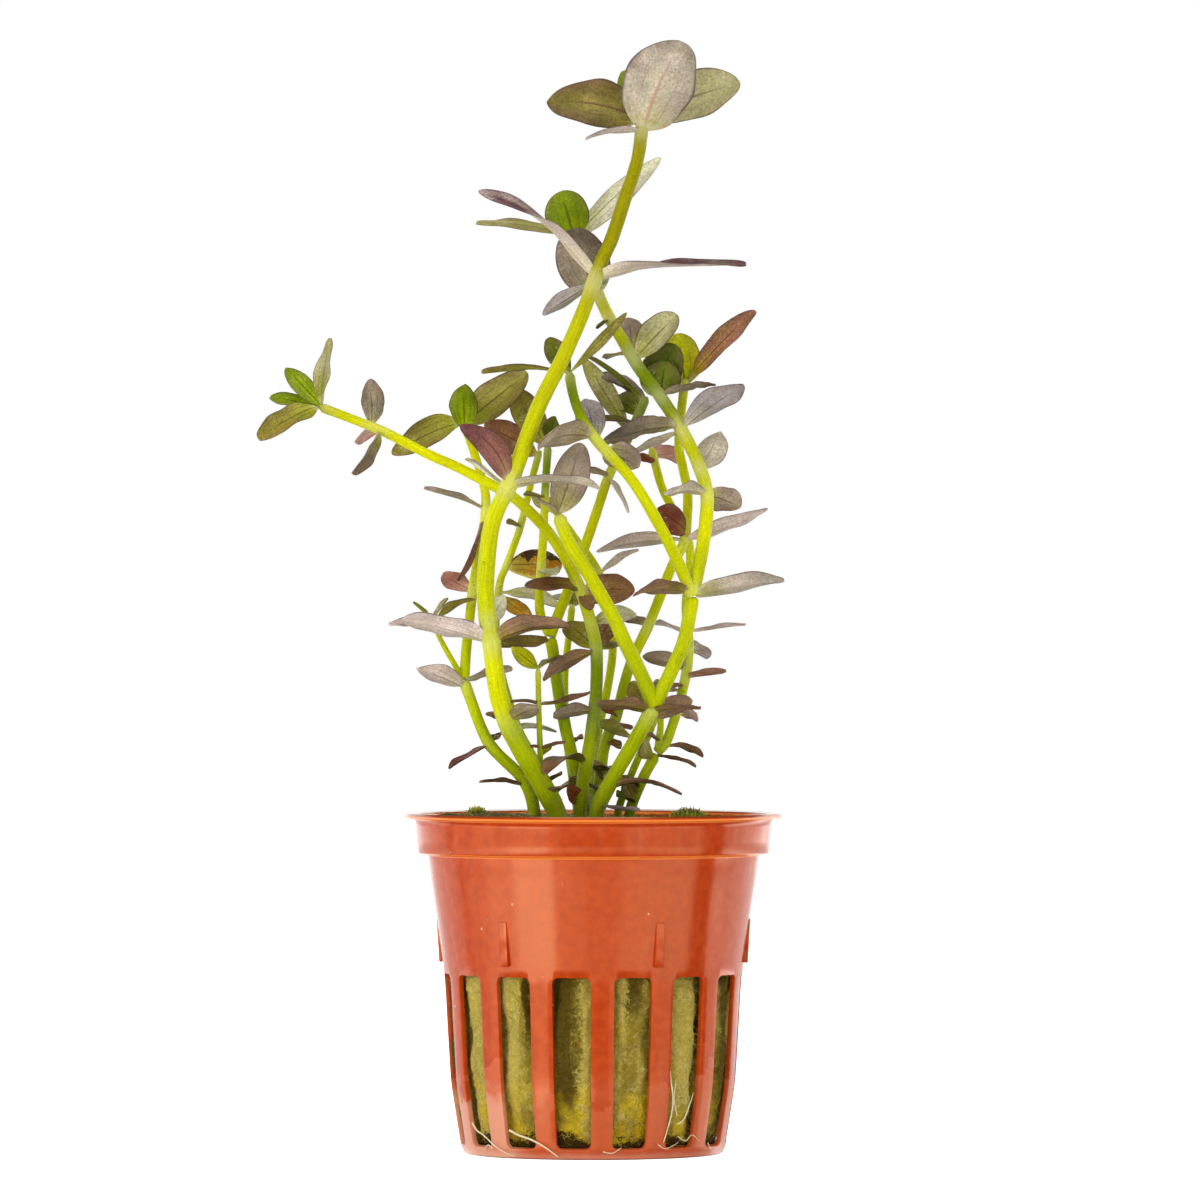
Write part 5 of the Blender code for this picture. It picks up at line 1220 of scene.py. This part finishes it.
        ("amber", (-12.6, 5.5, 80.6), (-8.9, -1.3, 77.3), 2.5, (0, -0.9, 0.4), 0.2, 0.3),
        ("pale", (-13.6, 6.7, 81.4), (-4.7, 7.1, 79.2), 3.2, (0, -0.5, 0.8), 0.8, 0.2),
        ("wilted", (-12.5, 6.6, 85.2), (-4.6, 5.2, 85.1), 4.8, (0, -0.9, 0.4), 0.2, 0.3),
        ("olive", (-10.6, 6.7, 91), (-12.6, 4.3, 91.4), 2.0, (0, -0.6, 0.8), 0.1, 0.1),
        ("rust", (-7.9, 6.4, 101.5), (-15.9, 4.3, 105.8), 4.6, (0, -1, 0.3), 0.3, 0.3),
        ("olive", (-5.9, 5.2, 51.8), (-3.3, 1, 53.5), 2.6, (0, -0.6, 0.8), 0.4, 0.3),
        ("bronze", (-6.6, 5.4, 53.4), (-4.7, 2.2, 54.9), 2.4, (0, -0.5, 0.8), 0.3, 0.3),
    ),
    "stem_edge_base": (
        ("dark", (9.1, 4, 57.5), (14.9, 0.4, 56), 2.6, (0, 0.2, 1), 0.5, 0.2),
        ("olive", (8.8, 3.5, 57.2), (7, -2.3, 59.6), 2.8, (-0.5, -0.7, 0.4), 0.4, 0.2),
        ("bronze", (5.7, 3, 51.1), (4.6, 2, 54.2), 2.4, (0, -1, 0.3), 0.3, 0.2),
        ("deep", (5.7, 3, 50.7), (3.4, -0.4, 51.9), 2.8, (0, -0.6, 0.8), 0.3, 0.3),
        ("deep", (6.5, 3.3, 52.7), (4, 0.6, 54.2), 2.4, (0, -0.5, 0.8), 0.3, 0.3),
    ),
    "stem_edge_upper": (
        ("dark", (10, 4.3, 59), (16, 7.6, 57.3), 2.8, (0, 0.2, 1), 0.8, 0.2),
        ("dark", (12.3, 5.4, 63.9), (15.1, 11.7, 63.2), 3.2, (0, -0.9, 0.4), 0.1, 0.1),
        ("blush", (13.6, 7.1, 75.2), (9, 13.2, 76.7), 3.0, (0, 0.4, 0.9), 0.4, 0.2),
        ("blush", (13.8, 7.1, 75.4), (22.2, 4.5, 76.7), 3.0, (0, 0.2, 1), 0.1, 0.2),
        ("taupe", (13.9, 6.9, 72.6), (16.8, 14.1, 72.9), 3.4, (0, -0.9, 0.3), 0.1, 0.1),
        ("taupe", (13.8, 6.4, 70.3), (7.2, 3.9, 72.1), 4.2, (0, 0.5, 0.9), 0.3, 0.3),
        ("rose", (13.5, 6.3, 69.1), (19.2, 2, 69.9), 3.0, (0, 0.4, 0.9), 0.2, 0.2),
        ("rose", (8.7, 7.8, 101.3), (12.4, 15.5, 101.9), 4.4, (0, -0.9, 0.4), 0.2, 0.2),
        ("maroon", (8.5, 7.8, 100.6), (6.2, 6.4, 100.7), 3.4, (0, -0.5, 0.8), 0.1, 0.1),
    ),
    "stem_back_right": (
        ("maroon", (13.6, 3.2, 89.9), (9.3, -2.6, 93.4), 4.2, (0, -1, 0.3), 0.2, 0.3),
        ("dark", (13.4, 3.5, 89.6), (10.2, 1.4, 89.9), 2.4, (0, 0, 1), 0.1, 0.1),
        ("mauve", (13.1, 3.2, 88.8), (0.4, -0.9, 87.4), 4.4, (0, 0.5, 0.9), 0.6, 0.3),
        ("lime", (13.3, 4.1, 111.8), (12.3, 3.8, 119), 5.6, (0, -1, 0.1), 0.2, 0.3),
        ("lime", (13.3, 4.1, 111.2), (15.7, 11.1, 115.1), 2.6, (0, -0.4, 1), 0.1, 0.1),
        ("dark", (7.8, 4.4, 76.1), (4.4, 11.6, 77.6), 3.2, (0, -0.5, 0.8), 0.3, 0.2),
        ("dark", (2.7, 4.4, 61.6), (5.7, 6.6, 61.7), 2.0, (0, -0.6, 0.8), 0.1, 0.1),
        ("dark", (2.1, 4.5, 59.8), (4, 2.7, 58.7), 1.8, (0, -0.6, 0.8), 0.1, 0.1),
        ("bronze", (1.1, 4.6, 54.2), (-0.7, 1.5, 56.2), 3.0, (0, -0.7, 0.7), 0.4, 0.3),
        ("dark", (0.9, 4.5, 52.3), (-0.9, 1.6, 53.6), 2.6, (0, -0.5, 0.8), 0.3, 0.3),
        ("olive", (1.2, 4.7, 55.8), (2.7, 1.8, 54.5), 2.4, (0.2, -0.7, 0.7), 0.3, 0.3),
        ("maroon", (3.3, 5, 63.6), (1.2, 2.5, 64.5), 2.4, (0, -0.7, 0.6), 0.3, 0.2),
    ),
    "stem_back_centre": (
        ("blush", (0.8, 12, 84.3), (6.6, 10.1, 87.6), 2.4, (0, 0.3, 0.9), 0.4, 0.2),
        ("sage", (-6.9, 10.2, 93.6), (-9, 9.3, 95.4), 1.8, (0, -1, 0.4), 0.1, 0.1),
        ("sage", (-6.9, 10.2, 93.5), (-5.5, 10.2, 95.2), 1.8, (0, -1, 0.4), 0.1, 0.1),
    ),
    "stem_slim": (
        ("lime", (-8, -6.4, 70.2), (-11.7, -12.4, 73.4), 2.4, (0.4, -0.5, -0.3), 0.1, 0.2),
        ("olive", (-8, -6.4, 70.2), (-4.4, -0.2, 72.1), 2.6, (0, 0.3, 0.9), 0.3, 0.2),
        ("dark", (-7.9, -5.7, 65.3), (-11.9, -7.4, 65.5), 2.4, (0, 0.1, 1), 0.4, 0.2),
        ("dark", (-7.9, -5.7, 65.5), (-0.5, -8, 66.9), 3.2, (0, 0.1, 1), -0.3, 0.3),
        ("dark", (-7.7, -4.4, 58.8), (-10.2, -5.7, 59), 1.8, (0, 0.1, 1), 0.2, 0.1),
        ("dark", (-7.7, -4.4, 58.7), (-4, -6, 59.7), 2.0, (0, 0.1, 1), 0.3, 0.1),
        ("lime", (-7.6, -4.1, 54.9), (-5.8, -6.2, 56.4), 1.8, (0, -0.5, 0.9), 0.1, 0.2),
        ("lime", (-7.6, -4.2, 57.5), (-6.2, -2.6, 59.1), 1.5, (0, -0.6, 0.8), 0.1, 0.2),
    ),
    "stem_back_short": (
        ("taupe", (-3.2, 12.8, 79.5), (-5.7, 20.8, 80.8), 3.0, (0, -0.4, 1), 0.3, 0.2),
        ("taupe", (-3.2, 12.8, 79.5), (-0.5, 19.4, 80.5), 3.0, (0, -0.4, 1), 0.3, 0.2),
        ("olive", (-3.2, 12.7, 79.3), (-2.9, 9.1, 81.7), 1.8, (0, -1, 0.3), 0.1, 0.2),
        ("rust", (-3.9, 8.6, 58.9), (-1.5, 5.4, 60.1), 2.0, (0, -0.4, 1), 0.3, 0.3),
    ),
    "twig_edge": (
        ("dark", (10.4, 3.1, 67), (12.7, 6.6, 68), 2.4, (0, -0.2, 1), 0.2, 0.2),
        ("olive", (10.4, 3.1, 67), (9.2, 6, 68.6), 2.0, (0, -0.6, 0.8), 0.1, 0.2),
        ("dark", (9.5, 3.9, 59.6), (7.9, 1.7, 60.6), 1.8, (0, -0.6, 0.8), 0.2, 0.2),
    ),
    "stem_back_low": (
        ("dark", (10.3, 11, 66.6), (8.3, 17.8, 67.6), 2.8, (0, -0.2, 1), 0.3, 0.2),
        ("dark", (10.3, 11, 66.6), (13, 15.8, 66.7), 2.8, (0, -0.2, 1), 0.3, 0.2),
    ),
}
# The finishes that share a slot
LEAF_SLOTS = {
    "leaf_green": ("fresh", "deep", "lime"),
    "leaf_olive": ("olive", "bronze", "sage", "rust", "amber", "dry", "wilted"),
    "leaf_taupe": ("silver", "pearl", "taupe", "blush", "pale"),
    "leaf_purple": ("mauve", "lilac", "plum", "rose", "maroon", "dark"),
}


def slot_of(kind):
    return next(slot for slot, names in LEAF_SLOTS.items() if kind in names)


for name, row in LEAVES.items():
    blade = bmesh.new()
    shape_leaf(blade, row, LEAF_SIDES)
    place_piece(name + "_blade", blade, [kinds[row[0]]], slot_of(row[0]), [name], sharp=180)
for stem, rows in SMALL_LEAVES.items():
    used = sorted({row[0] for row in rows})
    blades = bmesh.new()
    for row in rows:
        shape_leaf(blades, row, SMALL_LEAF_SIDES, stem, used.index(row[0]), WIDEST_SMALL)
    place_piece(stem + "_small_leaves", blades, [kinds[kind] for kind in used], slot_of(used[0]), sharp=180)

# The stems are drawn here, where each of their nodes is known, and then set with short pale
# hairs. A hair is a thin strand of three sides that stands out from the skin, and they are
# densest round the nodes.
THICK_STEM, THICK_SIDES, SLIM_SIDES = 0.6, 16, 12
HAIRS_A_MM, MORE_AT_NODES, HAIRY_REACH = 11, 1.2, 1.8
HAIR_LENGTH, HAIR_RADIUS, HAIR_BOW, HAIR_TIP = 0.5, 0.018, 0.12, 0.2
# How far round a node the skin is pale, from which height and how fast that sets in, and how
# pale it is: most on the stems that stand in front
PALE_REACH, PALE_FROM, PALE_OVER = 1.4, 56, 14
PALE_NODES = {"stem_main": 1, "stem_right_base": 1, "stem_right_middle": 1, "stem_right_upper": 0.8}
OTHER_NODES = 0.4


def nearness(point, spots, reach):
    """1 at the nearest of some spots, and less away from it."""
    return max([math.exp(-((point - spot).length / reach) ** 2) for spot in spots], default=0)


def grow_stem(name, finish):
    """Draw a stem, and note where its skin is pale at a node, and where painted shade and painted light fall
    on it.
    """
    bm = bmesh.new()
    sides = THICK_SIDES if STEMS[name][0] > THICK_STEM else SLIM_SIDES
    draw_tube(bm, routes[name], stem_radii(name), sides, keep="stalk")
    tint = note_of(bm, "tint")
    spots = node_spots(name)
    for vert in bm.verts:
        pale = nearness(vert.co, spots, PALE_REACH)
        pale *= min(max((vert.co.z - PALE_FROM) / PALE_OVER, 0), 1) * PALE_NODES.get(name, OTHER_NODES)
        green, lit_patch = (
            max(math.exp(-((vert.co - Vector(middle)).length / reach) ** 4) for middle, reach in parts)
            for parts in (SHADED_GREEN_PARTS, BRIGHT_PARTS))
        vert[tint] = (pale, green, lit_patch)
    place_piece(name + "_stalk", bm, [finish], "stem", [name], sharp=60)


def hair_places():
    """Hairs all round each stem above the plug, more of them near a node."""
    draw = random.Random(21)
    places = []
    for name, route in routes.items():
        radii, spots = stem_radii(name), node_spots(name)
        for index in range(1, len(route) - 1):
            point, tangent = route[index], (route[index + 1] - route[index - 1]).normalized()
            if point.z < WOOL_TOP + 0.5:
                continue
            near = nearness(point, spots, HAIRY_REACH)
            for _ in range(round(HAIRS_A_MM * STEM_STEP * (1 + MORE_AT_NODES * near))):
                out = tangent.orthogonal()
                out.rotate(Matrix.Rotation(draw.uniform(0, math.tau), 3, tangent))
                start = point + tangent * draw.uniform(-0.4, 0.4) + out * radii[index] * 0.96
                way = out + tangent * draw.gauss(0, 0.45)
                places.append(lay_along(start, way, draw.uniform(0, math.tau), draw.uniform(0.35, 1.1)))
    return places


stalk = stem_finish()
for name in STEMS:
    grow_stem(name, stalk)
down = Finish("white hair", Roughness=0.5, Subsurface_Weight=0.4, Subsurface_Scale=0.0005)
down.drive("Base Color", down.blend((0.72, 0.74, 0.20), (0.88, 0.88, 0.50), down.clouds(0.5, 2)))
hair = strand(HAIR_LENGTH, HAIR_RADIUS, HAIR_BOW, tip=HAIR_TIP)
strew("stem_hairs", hair, hair_places(), down, "stem")

# Plain pale floor, and even studio light from soft panels that stand round the plant in two
# rings with a dimmer band between them. Camera rays see floor and room at full white. Sizes
# in this section are in metres.
FLOOR_WIDE, FLOOR_GREY, FLOOR_ROUGH = 12, 0.9, 0.9
# Turn of each panel's sides from the front, and its radiance in the low, middle and high ring
PANELS = (
    ("far left", -150, -110, 1.4, 0.8, 1.6),
    ("left", -105, -86, 1.2, 0.7, 1.4),
    ("key side", -85, -61, 2.3, 1.0, 2.4),
    ("key", -60, -28, 4.5, 1.0, 4.6),
    ("front", -27, -4, 1.5, 0, 1.6),
    ("front right", -3, 18, 1.1, 0, 1.2),
    ("right", 19, 77, 1.8, 0.7, 2.0),
    ("far right", 96, 150, 2.8, 1.0, 2.6),
    ("behind", 150, 210, 1.5, 1.0, 1.6),
)
PANEL_AWAY = 0.85
# Lower and upper edge of each ring
RINGS = ((-0.32, -0.165), (-0.165, -0.03), (-0.03, 0.42))
TOP_PANEL, TOP_PLACE, TOP_RADIANCE = 1.2, Vector((0, -0.2, 1.3)), 2.5
ROOM_LIGHT, FLOOR_GLOW = 0.1, 1.0


def soft_panel(name, place, aim, wide, tall, radiance):
    """Stand a soft panel that looks at a point and isn't seen itself."""
    panel = bpy.data.lights.new(name, "AREA")
    panel.shape = "RECTANGLE"
    panel.size, panel.size_y = wide, tall
    panel.energy = radiance * math.pi * wide * tall
    holder = to_scene(name, panel)
    holder.location = place
    holder.rotation_euler = (aim - place).to_track_quat("-Z", "Y").to_euler()
    holder.visible_camera = False


def seen_and_lit(tree, seen, lit, output):
    """Show one shader to the camera and light the plant by another."""
    rays = tree.nodes.new("ShaderNodeLightPath")
    pick = tree.nodes.new("ShaderNodeMixShader")
    tree.links.new(rays.outputs["Is Camera Ray"], pick.inputs[0])
    tree.links.new(lit.outputs[0], pick.inputs[1])
    tree.links.new(seen.outputs[0], pick.inputs[2])
    tree.links.new(pick.outputs[0], output.inputs["Surface"])


ground = bmesh.new()
bmesh.ops.create_grid(ground, x_segments=1, y_segments=1, size=FLOOR_WIDE / 2)
floor = to_scene("floor", to_mesh("floor", ground))
floor.visible_glossy = False
paper = bpy.data.materials.new("white paper")
paper.use_nodes = True
floor.data.materials.append(paper)
plain = paper.node_tree.nodes["Principled BSDF"]
glowing = paper.node_tree.nodes.new("ShaderNodeBsdfPrincipled")
for shader in (plain, glowing):
    shader.inputs["Base Color"].default_value = (FLOOR_GREY, FLOOR_GREY, FLOOR_GREY, 1)
    shader.inputs["Roughness"].default_value = FLOOR_ROUGH
    shader.inputs["Specular IOR Level"].default_value = 0
glowing.inputs["Emission Color"].default_value = (1, 1, 1, 1)
glowing.inputs["Emission Strength"].default_value = FLOOR_GLOW
seen_and_lit(paper.node_tree, glowing, plain, paper.node_tree.nodes["Material Output"])

for name, start, end, *radiances in PANELS:
    middle, half = math.radians((start + end) / 2), math.radians((end - start) / 2)
    for (low, high), radiance in zip(RINGS, radiances):
        if radiance:
            place = around(middle, PANEL_AWAY, (low + high) / 2)
            aim = Vector((0, 0, place.z))
            soft_panel("panel " + name, place, aim, 2 * PANEL_AWAY * math.tan(half), high - low, radiance)
soft_panel("panel above", TOP_PLACE, Vector((0, 0, 0)), TOP_PANEL, TOP_PANEL, TOP_RADIANCE)

room = bpy.data.worlds.new("room")
bpy.context.scene.world = room
room.use_nodes = True
lit = room.node_tree.nodes["Background"]
seen = room.node_tree.nodes.new("ShaderNodeBackground")
for shader, strength in ((lit, ROOM_LIGHT), (seen, 1.0)):
    shader.inputs["Color"].default_value = (1, 1, 1, 1)
    shader.inputs["Strength"].default_value = strength
seen_and_lit(room.node_tree, seen, lit, room.node_tree.nodes["World Output"])

# The camera looks level at the plant from the front, as in the photograph
CAMERA_PLACE = Vector((0.94, -1400, 80.2)) * MM
SENSOR_WIDTH, FOCAL_LENGTH = 36, 289.7
lens = bpy.data.cameras.new("camera")
lens.sensor_width, lens.lens = SENSOR_WIDTH, FOCAL_LENGTH
lens.clip_start, lens.clip_end = 0.1, 50
eye = to_scene("camera", lens)
eye.location = CAMERA_PLACE
eye.rotation_euler = (math.radians(90), 0, 0)
bpy.context.scene.camera = eye
bpy.context.scene.view_settings.view_transform = "Standard"
